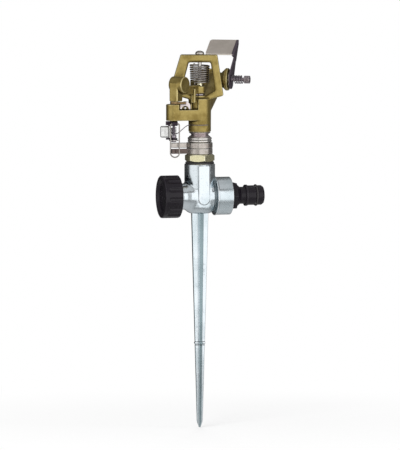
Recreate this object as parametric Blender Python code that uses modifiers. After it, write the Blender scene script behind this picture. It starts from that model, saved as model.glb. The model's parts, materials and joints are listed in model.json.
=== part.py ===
"""Impulse sprinkler on a spike, with every piece as its own solid.

Metres, +Z up. The origin is on the riser axis at the soil line, where the spike begins.
+X runs along the tee towards the hose connector. Three frames stand on the riser axis:
the base, the head (turned by HEAD_TURN) and, on the head, the flow (turned by FLOW_TURN),
whose +X is the way the water leaves and whose +Y is the left of the stream.
"""

import math

import bmesh
import bpy
import numpy as np
from mathutils import Matrix, Vector

# Clearances
FIT = 0.0003
LOOSE = 0.0006

# How round things are
BIG_STEPS = 32
MID_STEPS = 24
SMALL_STEPS = 16

# Spike
SPIKE_LENGTH = 0.1817
SPIKE_TOP_WIDTH = 0.0144
SPIKE_END_WIDTH = 0.0050
SPIKE_POINT_LENGTH = 0.0060
SPIKE_POINT_WIDTH = 0.0014
SPIKE_RIB = 0.0036
SPIKE_RIB_END = 0.0018
SPIKE_CHAMFER = 0.0005
SPIKE_FILLET = 0.0007
SPIKE_BAND_DEPTH = 0.1100
SPIKE_BAND_HEIGHT = 0.0018
SPIKE_BAND_STEP = 0.0004

# Tee, riser part
RISER_DIAMETER = 0.0259
TEE_TOP = 0.0419
RISER_BORE = 0.0186
RISER_THREAD_DEPTH = 0.0179
RISER_PASSAGE = 0.0120
HULL_HEIGHT = 0.0072
HULL_FOOT_WIDTH = 0.0150
PANEL_WIDTH = 0.0094
PANEL_RAISE = 0.0003
PANEL_AZIMUTH = math.radians(272.5)
PANEL_FOOT = 0.0078

# Tee, cross pipe
PIPE_HEIGHT = 0.0143
PIPE_DIAMETER = 0.0212
PIPE_BORE = 0.0150
PIPE_FLARE = 0.0020
PIPE_FLARE_LENGTH = 0.0030
COLLAR_START = 0.0122
COLLAR_LENGTH = 0.0138
COLLAR_DIAMETER = 0.0320
COLLAR_RIM = 0.0009
COLLAR_RIM_STEP = 0.0004
COLLAR_CHAMFER = 0.0012
COLLAR_BORE = 0.0204
COLLAR_SOCKET_DEPTH = 0.0112
STUB_START = 0.0194
STUB_LENGTH = 0.0083
STUB_DIAMETER = 0.0264

# Outlet cap
CAP_DIAMETER = 0.0360
CAP_LENGTH = 0.0154
CAP_OVERLAP = 0.0008
CAP_DISH_DEPTH = 0.0022
CAP_DISH_WIDTH = 0.0284
CAP_WEB = 0.0022
CAP_CHAMFER = 0.0010
CAP_FLUTES = 14
CAP_FLUTE_WIDTH = 0.0054
CAP_FLUTE_DEPTH = 0.0010
CAP_FLUTE_LENGTH = 0.0092
CAP_WASHER = 0.0012
CAP_WASHER_BORE = 0.0160

# Hose connector
CONNECTOR_BORE = 0.0100
CONNECTOR_HEX = 0.0213
CONNECTOR_HEX_LENGTH = 0.0037
CONNECTOR_SHANK = 0.0105
CONNECTOR_NECK = 0.0144
CONNECTOR_NECK_CHAMFER = 0.0037
CONNECTOR_NECK_LENGTH = 0.0044
CONNECTOR_LIP = 0.0180
CONNECTOR_LIP_LENGTH = 0.0020
CONNECTOR_BODY = 0.0166
CONNECTOR_BODY_LENGTH = 0.0066
CONNECTOR_GROOVE = 0.0146
CONNECTOR_GROOVE_LENGTH = 0.0022
CONNECTOR_NOSE_LENGTH = 0.0051
CONNECTOR_NOSE_CHAMFER = 0.0014
GASKET = 0.0007
GASKET_DIAMETER = 0.0230
O_RING_WIRE = 0.0016

# Bearing
SEAL = 0.0013
SEAL_DIAMETER = 0.0244
HEX_FLATS = 0.0222
HEX_HEIGHT = 0.0062
HEX_AZIMUTH = math.radians(5)
NUT_SHANK_LENGTH = 0.0125
NUT_NECK_DIAMETER = 0.0160
SLEEVE_BORE = 0.0072
SLEEVE_DIAMETER = 0.0096
SLEEVE_FLANGE = 0.0020
SLEEVE_FLANGE_DIAMETER = 0.0162
SLEEVE_ENGAGEMENT = 0.0113
THRUST_WASHER = 0.0008
RUBBER_WASHER = 0.0014
INNER_WASHER_DIAMETER = 0.0172

# Part-circle collars
COLLAR_RING_HEIGHT = 0.0046
COLLAR_RING_DIAMETER = 0.0218
TAB_REACH = 0.0245
TAB_WIDTH = 0.0050
TAB_SLOT = 0.0014
TAB_END = 0.0022
LOWER_TAB_AZIMUTH = math.radians(178)
UPPER_TAB_AZIMUTH = math.radians(168)

# Neck above the collars
NECK_WASHER = 0.0017
COVER_WASHER = 0.0018
NECK_WASHER_DIAMETER = 0.0203
NECK_COVER_HEIGHT = 0.0041
NECK_COVER_DIAMETER = 0.0184
NECK_COVER_WAIST = 0.0146
NECK_COVER_BORE = 0.0132
NECK_SPRING_WIRE = 0.0006
NECK_SPRING_CURLS = 2

# Head body
HEAD_TURN = math.radians(-15)
FLOW_TURN = math.radians(77.5)
SKIRT_DIAMETER = 0.0190
SKIRT_HEIGHT = 0.0100
SKIRT_ROUND = 0.0010
COLUMN_BELOW_SEAT = 0.0022
BLOCK_HEIGHT = 0.0138
BARREL_RISE = 0.0063
BARREL_ELEVATION = math.radians(20)
BARREL_LENGTH = 0.0690
BARREL_ROOT_DIAMETER = 0.0160
BARREL_END_DIAMETER = 0.0150
BARREL_LIP = 0.0022
BARREL_LIP_STEP = 0.0006
BODY_BORE = 0.0090
BARREL_BORE = 0.0094
NOZZLE_SHANK = 0.0110
NOZZLE_DEPTH = 0.0062
NOZZLE_FLANGE = 0.0020
NOZZLE_FLANGE_DIAMETER = 0.0132
NOZZLE_INLET = 0.0084
NOZZLE_OUTLET = 0.0044
SCREW_SETBACK = 0.010038790834
SCREW_BOSS_DIAMETER = 0.0110
SCREW_BOSS_START = 0.0020
SCREW_BOSS_REACH = 0.0132
SCREW_ABOVE_BARREL = 0.0046
FLAP_LUG_DIAMETER = 0.0190
FLAP_LUG = 0.0034

# Bridge, in the plane of the head frame
BRIDGE_DEPTH = 0.0080
BRIDGE_TOP_HALF = 0.0162
BRIDGE_HIP_HALF = 0.0222
BRIDGE_HIP_DROP = 0.0200
BRIDGE_HEEL_HALF = 0.0202
BRIDGE_BAR = 0.0066
WINDOW_TOP_HALF = 0.0092
WINDOW_HIP_HALF = 0.0127
WINDOW_HEEL_HALF = 0.0129
WINDOW_HEEL_RISE = 0.0045
BRIDGE_FOOT_HALF = 0.0090
BRIDGE_FOOT_BELOW_SEAT = 0.0030
BRIDGE_ROUND = 0.0012
PIN_BOSS_DIAMETER = 0.0104
PIN_SEAT_HEIGHT = 0.0068
WINDOW_HEIGHT = 0.0281

# Pocket in the front of the body, in front of which the arm's trip dog hangs
POCKET_DEPTH = 0.0115
POCKET_LEFT = -0.0172
POCKET_MIDDLE = -0.0066
POCKET_RIGHT = -0.0012
POCKET_BACK_LEFT = -0.0072
POCKET_BACK_MIDDLE = -0.0046
POCKET_BACK_RIGHT = -0.0061

# Fulcrum pin, arm and arm spring
PIN_DIAMETER = 0.0032
PIN_DEPTH = 0.0062
PIN_CAP_DIAMETER = 0.0076
PIN_CAP_HEIGHT = 0.0030
ARM_WASHER = 0.0014
ARM_WASHER_DIAMETER = 0.0086
BUSH_DIAMETER = 0.0050
BUSH_LENGTH = 0.0102
HUB_DIAMETER = 0.0092
HUB_HEIGHT = 0.0060
ARM_WEB = 0.0044
ARM_WEB_HEIGHT = 0.0072
ARM_BEAM = 0.0040
ARM_BEAM_RISE = 0.0034
ARM_BEAM_HEIGHT = 0.0046
ARM_FRONT = math.radians(157.5)
WEIGHT_START = 0.0308
WEIGHT_END = 0.0390
WEIGHT_WIDTH = 0.0084
WEIGHT_DROP = 0.0050
WEIGHT_HEIGHT = 0.0160
WEIGHT_BEVEL = 0.0010
WEIGHT_DRUM_DIAMETER = 0.0136
WEIGHT_DRUM_REACH = 0.0320
WEIGHT_DRUM_RISE = 0.0141
WEIGHT_DRUM_FRONT = 0.0078
WEIGHT_DRUM_BACK = 0.0052
DOG_NEAR = 0.0104
DOG_FAR = 0.0128
DOG_WIDTH = 0.0034
DOG_DROP = 0.0074
DOG_TURN = math.radians(9.5)
BEAM_BEND_NEAR = 0.0140
BEAM_BEND_FAR = 0.0340
BEAM_OFFSET = 0.0140
SPOON_WALL = 0.0018
SPOON_HEIGHT = 0.0136
SPOON_DROP = 0.0010
SPOON_GAP = 0.0034
SPOON_REACH = 0.0092
SPOON_PAST_CENTRE = 0.0014
ARM_SPRING_WIRE = 0.0012
ARM_SPRING_TOP_DIAMETER = 0.0172
ARM_SPRING_FOOT_DIAMETER = 0.0160
ARM_SPRING_CURLS = 7
ARM_SPRING_FOOT_RISE = 0.0018

# Deflector flap
FLAP_SHEET = 0.0011
FLAP_WASHER = 0.0007
FLAP_WASHER_DIAMETER = 0.0120
FLAP_END_DIAMETER = 0.0164
FLAP_WAIST = 0.0080
FLAP_WAIST_AHEAD = 0.0150
FLAP_WAIST_ABOVE = 0.0163
FLAP_FOLD_AHEAD = 0.0067
FLAP_FOLD_ABOVE = 0.0200
FLAP_FOLD_LENGTH = 0.0238
FLAP_FOLD_SLOPE = math.radians(27.6)
FLAP_TOP_WIDTH = 0.0245
FLAP_CORNER = 0.0026

# Diffuser screw
DIFFUSER_SHAFT = 0.0032
DIFFUSER_TIP = 0.0025
DIFFUSER_WASHER = 0.0007
DIFFUSER_WASHER_DIAMETER = 0.0080
DIFFUSER_SPRING_LENGTH = 0.0094
DIFFUSER_SPRING_DIAMETER = 0.0074
DIFFUSER_SPRING_WIRE = 0.0008
DIFFUSER_SPRING_CURLS = 5
DIFFUSER_HEAD = 0.0048
DIFFUSER_HEAD_DIAMETER = 0.0066

# Trip gear, in the head frame
TRIP_X = -0.0219
TRIP_Y = -0.0085
BRACKET_HALF = 0.0065
TRIP_PIN_DIAMETER = 0.0022
TRIP_PIN_HEAD = 0.0008
TRIP_PIN_HEAD_DIAMETER = 0.0042
TRIP_WASHER = 0.0008
TRIP_WASHER_DIAMETER = 0.0080
TRIP_HUB_DIAMETER = 0.0062
TRIP_HUB_HEIGHT = 0.0041
TRIP_PIN_BELOW_BLOCK = 0.0182
TRIP_WEIGHT_NEAR = 0.0042
TRIP_WEIGHT_FAR = 0.0114
TRIP_WEIGHT_WIDTH = 0.0068
TRIP_WEIGHT_ROUND = 0.0014
TRIP_WEIGHT_ABOVE_FOOT = 0.0005
TRIP_FOOT = 0.0012
TRIP_FOOT_FAR = 0.0066
TRIP_SPACER = 0.0022
TRIP_SPACER_DIAMETER = 0.0046
TRIP_STRIP_NEAR = 0.0028
TRIP_STRIP_WIDTH = 0.0048
TRIP_WEB = 0.0032
TRIP_LUG_RIGHT = 0.0034
TRIP_LUG_LEFT = 0.0010
TRIP_WIRE_FORWARD = 0.0055
TRIP_WIRE_DIAMETER = 0.0011
TRIP_WIRE_LEFT = -0.0027
TRIP_WIRE_RIGHT = 0.0047
TRIP_WIRE_DROP = 0.0282
TRIP_WIRE_ENTRY = 0.0008
TRIP_SPRING_WIRE = 0.0006
TRIP_SPRING_CURLS = 5
TRIP_SPRING_SKIRT_SHARE = 0.62
TRIP_SPRING_WRAP = math.radians(100)
FINGER_THICKNESS = 0.0020
FINGER_REACH = 0.0100
FINGER_WIDTH = 0.0032
FINGER_FORWARD = 0.0004
ARCH_CENTRE = 0.0097
ARCH_HALF = 0.0044
ARCH_FOOT_CLEAR = 0.0005
ARCH_HEIGHT = 0.0069
ARCH_NOTCH = 0.0028
ARCH_THICKNESS = 0.0012
ARCH_FORWARD = 0.0014
STOP_PIN_DIAMETER = 0.0020
STOP_PIN_RISE = 0.0016
STOP_PIN_LENGTH = 0.0054

# Heights worked out from the sizes above, from the tee upwards
SEAL_Z = TEE_TOP + FIT
HEX_Z = SEAL_Z + SEAL + FIT
NUT_SHANK_Z = HEX_Z - NUT_SHANK_LENGTH
LOWER_RING_Z = HEX_Z + HEX_HEIGHT + FIT
UPPER_RING_Z = LOWER_RING_Z + COLLAR_RING_HEIGHT + FIT
NUT_TOP_Z = UPPER_RING_Z + COLLAR_RING_HEIGHT + FIT
NECK_WASHER_Z = NUT_TOP_Z + FIT
COVER_WASHER_Z = NECK_WASHER_Z + NECK_WASHER + FIT
NECK_COVER_Z = COVER_WASHER_Z + COVER_WASHER + FIT
SKIRT_Z = NECK_COVER_Z + NECK_COVER_HEIGHT + FIT
BLOCK_Z = SKIRT_Z + SKIRT_HEIGHT
BLOCK_TOP_Z = BLOCK_Z + BLOCK_HEIGHT
BARREL_Z = BLOCK_Z + BARREL_RISE
PIN_SEAT_Z = BLOCK_TOP_Z + PIN_SEAT_HEIGHT
WINDOW_TOP_Z = PIN_SEAT_Z + WINDOW_HEIGHT
BRIDGE_TOP_Z = WINDOW_TOP_Z + BRIDGE_BAR
ARM_WASHER_Z = PIN_SEAT_Z + FIT
ARM_Z = ARM_WASHER_Z + ARM_WASHER + FIT
ARM_WEB_TOP_Z = ARM_Z + ARM_WEB_HEIGHT
SLEEVE_TOP_Z = SKIRT_Z + SLEEVE_ENGAGEMENT

# Radii and reaches worked out from the sizes above
NUT_SHANK_RADIUS = RISER_BORE / 2 - FIT
BEARING_BORE_RADIUS = SLEEVE_DIAMETER / 2 + FIT
PIN_HOLE_RADIUS = PIN_DIAMETER / 2 + FIT
SCREW_HOLE_RADIUS = DIFFUSER_SHAFT / 2 + FIT
TRIP_HOLE_RADIUS = TRIP_PIN_DIAMETER / 2 + FIT
SCREW_REACH = BARREL_LENGTH * math.cos(BARREL_ELEVATION) - SCREW_SETBACK
SCREW_Z = BARREL_Z + SCREW_REACH * math.tan(BARREL_ELEVATION) + SCREW_ABOVE_BARREL
POCKET_Z = PIN_SEAT_Z - POCKET_DEPTH
FLAP_WASHER_OUT = SCREW_BOSS_REACH + FIT
FLAP_OUT = FLAP_WASHER_OUT + FLAP_WASHER + FIT
DIFFUSER_WASHER_OUT = FLAP_OUT + FLAP_SHEET + FIT
DIFFUSER_SPRING_OUT = DIFFUSER_WASHER_OUT + DIFFUSER_WASHER + FIT
DIFFUSER_HEAD_OUT = DIFFUSER_SPRING_OUT + DIFFUSER_SPRING_LENGTH + FIT

PARTS = "impulse_sprinkler"
CUTTERS = "construction_shapes"


def clear_scene():
    for obj in list(bpy.data.objects):
        bpy.data.objects.remove(obj, do_unlink=True)


def new_collection(name):
    made = bpy.data.collections.new(name)
    bpy.context.scene.collection.children.link(made)
    return made


def finish(name, colour, roughness, metallic):
    made = bpy.data.materials.new(name)
    made.use_nodes = True
    shader = made.node_tree.nodes["Principled BSDF"]
    shader.inputs["Base Color"].default_value = (*colour, 1)
    shader.inputs["Roughness"].default_value = roughness
    shader.inputs["Metallic"].default_value = metallic
    return made


def new_empty(name, parent=None, location=(0, 0, 0), turn=0.0):
    made = bpy.data.objects.new(name, None)
    made.empty_display_size = 0.01
    made.parent = parent
    made.location = location
    made.rotation_euler = (0, 0, turn)
    bpy.data.collections[PARTS].objects.link(made)
    return made


def shape_object(name, mesh):
    """A construction shape: it cuts or joins, until keep() makes it a part."""
    made = bpy.data.objects.new(name, mesh)
    made.hide_render = True
    made.display_type = "WIRE"
    bpy.data.collections[CUTTERS].objects.link(made)
    return made


def keep(obj, look, parent=None):
    """Makes a construction shape a part, with its own material."""
    bpy.data.collections[CUTTERS].objects.unlink(obj)
    bpy.data.collections[PARTS].objects.link(obj)
    obj.hide_render = False
    obj.display_type = "TEXTURED"
    obj.parent = parent
    obj.data.materials.clear()
    obj.data.materials.append(finish(obj.name, *look))
    return obj


def put(obj, location=(0, 0, 0), rotation=(0, 0, 0), parent=None):
    obj.location = location
    obj.rotation_euler = rotation
    if parent:
        obj.parent = parent
    return obj


def boolean(obj, operation, *tools):
    for tool in tools:
        step = obj.modifiers.new(f"{operation.lower()} {tool.name}", "BOOLEAN")
        step.operation = operation
        step.object = tool
    return obj


def turned(name, profile, steps=MID_STEPS, ring=False):
    """Turns a profile of (radius, height) about Z. It runs down the outside from the top."""
    mesh = bpy.data.meshes.new(name)
    count = len(profile)
    edges = [(i, i + 1) for i in range(count - 1)]
    if ring:
        edges.append((count - 1, 0))
    mesh.from_pydata([(radius, 0, height) for radius, height in profile], edges, [])
    obj = shape_object(name, mesh)
    screw = obj.modifiers.new("turn", "SCREW")
    screw.axis = "Z"
    screw.angle = 2 * math.pi
    screw.steps = steps
    screw.render_steps = steps
    screw.use_merge_vertices = True
    screw.merge_threshold = 0.00001
    screw.use_smooth_shade = True
    return obj


def rod(name, radius, low, high, steps=SMALL_STEPS):
    return turned(name, [(0, high), (radius, high), (radius, low), (0, low)], steps)


def washer(name, bore_radius, radius, low, thickness, steps=SMALL_STEPS, edge=0.0):
    """A flat ring, with its outer edges broken by the width edge."""
    high = low + thickness
    outside = [(radius, high), (radius, low)]
    if edge:
        outside = [
            (radius - edge, high),
            (radius, high - edge),
            (radius, low + edge),
            (radius - edge, low),
        ]
    profile = [(bore_radius, high), *outside, (bore_radius, low)]
    return turned(name, profile, steps, ring=True)


def arc(centre, radius, start, end, count):
    """Points on an arc from the angle start to the angle end, both in degrees."""
    return [
        (centre[0] + radius * math.cos(angle), centre[1] + radius * math.sin(angle))
        for angle in np.radians(np.linspace(start, end, count))
    ]


def rounded(corners, radius, count=4):
    """The outline through the corners, each cut by an arc that touches both of its sides."""
    outline = []
    for index, corner in enumerate(corners):
        here = Vector(corner)
        before = (Vector(corners[index - 1]) - here).normalized()
        after = (Vector(corners[(index + 1) % len(corners)]) - here).normalized()
        half = before.angle(after) / 2
        middle = here + (before + after).normalized() * radius / math.sin(half)
        start = here + before * radius / math.tan(half) - middle
        end = here + after * radius / math.tan(half) - middle
        for share in np.linspace(0, 1, count):
            spoke = start.lerp(end, share).normalized() * radius
            outline.append(tuple(middle + spoke))
    return outline


def plate(name, outlines, thickness, low=0.0):
    """A flat outline, with any holes after it, given thickness upwards from low."""
    curve = bpy.data.curves.new(name, "CURVE")
    curve.dimensions = "2D"
    curve.fill_mode = "BOTH"
    curve.extrude = thickness / 2
    for outline in outlines:
        spline = curve.splines.new("POLY")
        spline.points.add(len(outline) - 1)
        spline.use_cyclic_u = True
        for point, (x, y) in zip(spline.points, outline):
            point.co = (x, y, 0, 1)
    flat = bpy.data.objects.new(name + "_outline", curve)
    bpy.context.scene.collection.objects.link(flat)
    bpy.context.view_layer.update()
    graph = bpy.context.evaluated_depsgraph_get()
    mesh = bpy.data.meshes.new_from_object(flat.evaluated_get(graph))
    bpy.data.objects.remove(flat, do_unlink=True)
    form = bmesh.new()
    form.from_mesh(mesh)
    bmesh.ops.remove_doubles(form, verts=form.verts, dist=0.000001)
    bmesh.ops.recalc_face_normals(form, faces=form.faces)
    bmesh.ops.translate(form, verts=form.verts, vec=(0, 0, low + thickness / 2))
    form.to_mesh(mesh)
    form.free()
    return shape_object(name, mesh)


def box(name, low, high, bevel=0.0):
    """A box between two corners, with its edges broken by the width bevel."""
    form = bmesh.new()
    bmesh.ops.create_cube(form, size=1)
    size = Vector(high) - Vector(low)
    bmesh.ops.scale(form, verts=form.verts, vec=size)
    bmesh.ops.translate(form, verts=form.verts, vec=(Vector(low) + Vector(high)) / 2)
    mesh = bpy.data.meshes.new(name)
    form.to_mesh(mesh)
    form.free()
    obj = shape_object(name, mesh)
    if bevel:
        edge = obj.modifiers.new("broken edges", "BEVEL")
        edge.width = bevel
        edge.segments = 2
    return obj


def wire(name, points, diameter, resolution=1):
    """A round wire through the points, with closed ends."""
    curve = bpy.data.curves.new(name, "CURVE")
    curve.dimensions = "3D"
    curve.bevel_depth = diameter / 2
    curve.bevel_resolution = resolution
    curve.use_fill_caps = True
    spline = curve.splines.new("POLY")
    spline.points.add(len(points) - 1)
    for point, place in zip(spline.points, points):
        point.co = (*place, 1)
    return shape_object(name, curve)


def coil(curls, foot_radius, top_radius, low, high, start=0.0, per_curl=9):
    """Points along a helix from low to high, whose radius changes evenly."""
    share = np.linspace(0, 1, int(round(curls * per_curl)) + 1)
    angle = start + share * curls * 2 * math.pi
    radius = foot_radius + share * (top_radius - foot_radius)
    height = low + share * (high - low)
    columns = (radius * np.cos(angle), radius * np.sin(angle), height)
    return [tuple(point) for point in np.stack(columns, axis=1)]


def report_gap(name, points, diameter, apart):
    """Prints the least gap between stretches of a wire more than apart from each other along it."""
    places = np.array(points)
    steps = np.linalg.norm(np.diff(places, axis=0), axis=1)
    along = np.concatenate([[0], np.cumsum(steps)])
    fine = np.linspace(0, along[-1], 900)
    fine_places = np.stack([np.interp(fine, along, places[:, k]) for k in range(3)], axis=1)
    distance = np.linalg.norm(fine_places[:, None] - fine_places[None], axis=2)
    distance[np.abs(fine[:, None] - fine[None]) < apart] = 1
    print(f"{name}: least gap to itself {1000 * (distance.min() - diameter):.2f} mm")


def spike():
    """Cross-shaped ribs that taper to a point, with one raised band."""

    def section(form, height, half, rib):
        chamfer = min(SPIKE_CHAMFER, rib / 3)
        fillet = min(SPIKE_FILLET, (half - rib) / 3)
        quarter = [
            (half - chamfer, -rib),
            (half, chamfer - rib),
            (half, rib - chamfer),
            (half - chamfer, rib),
            (rib + fillet, rib),
            (rib, rib + fillet),
        ]
        loop = []
        for turn in range(4):
            way = Matrix.Rotation(turn * math.pi / 2, 3, "Z")
            for x, y in quarter:
                loop.append(form.verts.new(way @ Vector((x, y, height))))
        return loop

    straight = SPIKE_LENGTH - SPIKE_POINT_LENGTH

    def half_at(depth):
        share = depth / straight
        return (SPIKE_TOP_WIDTH + share * (SPIKE_END_WIDTH - SPIKE_TOP_WIDTH)) / 2

    def rib_at(depth):
        share = depth / straight
        return (SPIKE_RIB + share * (SPIKE_RIB_END - SPIKE_RIB)) / 2

    band = SPIKE_BAND_DEPTH
    edge = SPIKE_BAND_HEIGHT / 2
    stations = [(-HULL_HEIGHT / 2, 0), (band - edge, 0)]
    stations += [(band - edge + SPIKE_BAND_STEP, 1), (band + edge - SPIKE_BAND_STEP, 1)]
    stations += [(band + edge, 0), (straight, 0)]
    form = bmesh.new()
    loops = []
    for depth, raised in stations:
        step = raised * SPIKE_BAND_STEP
        loops.append(section(form, -depth, half_at(depth) + step, rib_at(depth) + step))
    loops.append(section(form, -SPIKE_LENGTH, SPIKE_POINT_WIDTH / 2, SPIKE_POINT_WIDTH / 5))
    for upper, lower in zip(loops, loops[1:]):
        for index in range(len(upper)):
            after = (index + 1) % len(upper)
            form.faces.new((upper[index], lower[index], lower[after], upper[after]))
    form.faces.new(loops[0])
    form.faces.new(loops[-1])
    bmesh.ops.recalc_face_normals(form, faces=form.faces)
    mesh = bpy.data.meshes.new("spike_ribs")
    form.to_mesh(mesh)
    form.free()
    return shape_object("spike_ribs", mesh)


def hexagon(flats, azimuth):
    corner = flats / 2 / math.cos(math.pi / 6)
    angles = [azimuth + math.pi / 6 + turn * math.pi / 3 for turn in range(6)]
    return [(corner * math.cos(angle), corner * math.sin(angle)) for angle in angles]


def make_spike_tee():
    radius = RISER_DIAMETER / 2
    foot = HULL_FOOT_WIDTH / 2
    hull = [
        (foot + (radius - foot) * math.sin(angle), HULL_HEIGHT * (1 - math.cos(angle)))
        for angle in np.radians(np.linspace(84, 6, 6))
    ]
    riser = turned(
        "spike_tee",
        [(0, TEE_TOP), (radius, TEE_TOP), (radius, HULL_HEIGHT), *hull, (foot, 0), (0, 0)],
        BIG_STEPS,
    )

    pipe = PIPE_DIAMETER / 2
    collar = COLLAR_DIAMETER / 2
    collar_end = COLLAR_START + COLLAR_LENGTH
    stub = STUB_DIAMETER / 2
    pipe_side = turned(
        "cross_pipe",
        [
            (0, collar_end),
            (collar - COLLAR_CHAMFER, collar_end),
            (collar, collar_end - COLLAR_CHAMFER),
            (collar, COLLAR_START + COLLAR_RIM),
            (collar + COLLAR_RIM_STEP, COLLAR_START + COLLAR_RIM - COLLAR_RIM_STEP),
            (collar + COLLAR_RIM_STEP, COLLAR_START),
            (pipe, COLLAR_START),
            (pipe, -STUB_START),
            (stub, -STUB_START),
            (stub, FIT - STUB_START - STUB_LENGTH),
            (stub - FIT, -STUB_START - STUB_LENGTH),
            (0, -STUB_START - STUB_LENGTH),
        ],
        BIG_STEPS,
    )
    put(pipe_side, (0, 0, PIPE_HEIGHT), (0, math.pi / 2, 0))
    shoulder = turned(
        "pipe_flare",
        [
            (0, radius),
            (pipe + PIPE_FLARE, radius - PIPE_FLARE_LENGTH),
            (pipe + PIPE_FLARE, PIPE_FLARE_LENGTH - radius),
            (pipe + PIPE_FLARE / 4, -radius - PIPE_FLARE_LENGTH / 4),
            (pipe, -radius - PIPE_FLARE_LENGTH),
            (0, -radius - PIPE_FLARE_LENGTH),
        ],
        BIG_STEPS,
    )
    put(shoulder, (0, 0, PIPE_HEIGHT), (0, math.pi / 2, 0))

    half = PANEL_WIDTH / 2
    panel_top = TEE_TOP - FIT
    panel_outline = [(panel_top, half), *arc((PANEL_FOOT + half, 0), half, 90, 270, 9), (panel_top, -half)]
    panel = plate("panel", [panel_outline], radius / 2, radius / 2 + PANEL_RAISE)
    panel.data.transform(Matrix(((0, 0, 1, 0), (0, 1, 0, 0), (1, 0, 0, 0), (0, 0, 0, 1))))
    panel.data.flip_normals()
    put(panel, rotation=(0, 0, PANEL_AZIMUTH))

    thread_end = TEE_TOP - RISER_THREAD_DEPTH
    riser_bore = turned(
        "riser_bore",
        [
            (0, TEE_TOP + LOOSE),
            (RISER_BORE / 2, TEE_TOP + LOOSE),
            (RISER_BORE / 2, thread_end),
            (RISER_PASSAGE / 2, thread_end),
            (RISER_PASSAGE / 2, PIPE_HEIGHT),
            (0, PIPE_HEIGHT),
        ],
    )
    socket_end = collar_end - COLLAR_SOCKET_DEPTH
    pipe_bore = turned(
        "pipe_bore",
        [
            (0, collar_end + LOOSE),
            (COLLAR_BORE / 2, collar_end + LOOSE),
            (COLLAR_BORE / 2, socket_end),
            (PIPE_BORE / 2, socket_end),
            (PIPE_BORE / 2, -STUB_START - STUB_LENGTH - LOOSE),
            (0, -STUB_START - STUB_LENGTH - LOOSE),
        ],
    )
    put(pipe_bore, (0, 0, PIPE_HEIGHT), (0, math.pi / 2, 0))
    boolean(riser, "UNION", spike(), shoulder, pipe_side, panel)
    boolean(riser, "DIFFERENCE", riser_bore, pipe_bore)
    keep(riser, ((0.55, 0.58, 0.62), 0.38, 0.9))


def make_cap():
    """Local Z runs out along -X from the riser axis, on the pipe's axis."""
    axis = new_empty("cap_axis", location=(0, 0, PIPE_HEIGHT))
    axis.rotation_euler = (0, -math.pi / 2, 0)
    start = STUB_START - CAP_OVERLAP
    end = start + CAP_LENGTH
    radius = CAP_DIAMETER / 2
    dish = CAP_DISH_WIDTH / 2
    stub_end = STUB_START + STUB_LENGTH
    washer_low = stub_end + FIT
    web_low = washer_low + CAP_WASHER + FIT
    web_high = web_low + CAP_WEB
    cavity = STUB_DIAMETER / 2 + FIT
    rim = max(end, web_high + CAP_DISH_DEPTH)
    cap = turned(
        "end_cap",
        [
            (0, web_high),
            (dish - CAP_CHAMFER, web_high),
            (dish, rim),
            (radius - CAP_CHAMFER, rim),
            (radius, rim - CAP_CHAMFER),
            (radius, start + CAP_CHAMFER),
            (radius - CAP_CHAMFER, start),
            (cavity, start),
            (cavity, web_low),
            (0, web_low),
        ],
        BIG_STEPS,
    )
    flute_radius = CAP_FLUTE_WIDTH / 2
    for index in range(CAP_FLUTES):
        angle = (index + 0.5) * 2 * math.pi / CAP_FLUTES
        flute = turned(
            f"flute_{index:02d}",
            [
                (0, start + CAP_FLUTE_LENGTH),
                (flute_radius * 0.7, start + CAP_FLUTE_LENGTH - flute_radius * 0.3),
                (flute_radius, start + CAP_FLUTE_LENGTH - flute_radius),
                (flute_radius, start - LOOSE),
                (0, start - LOOSE),
            ],
            8,
        )
        reach = radius + flute_radius - CAP_FLUTE_DEPTH
        put(flute, (reach * math.cos(angle), reach * math.sin(angle), 0), parent=axis)
        boolean(cap, "DIFFERENCE", flute)
    keep(cap, ((0.035, 0.032, 0.037), 0.45, 0.0), axis)
    seal = washer(
        "cap_washer", CAP_WASHER_BORE / 2, STUB_DIAMETER / 2 - FIT, washer_low, CAP_WASHER, MID_STEPS
    )
    keep(seal, ((0.02, 0.02, 0.02), 0.7, 0.0), axis)


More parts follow.
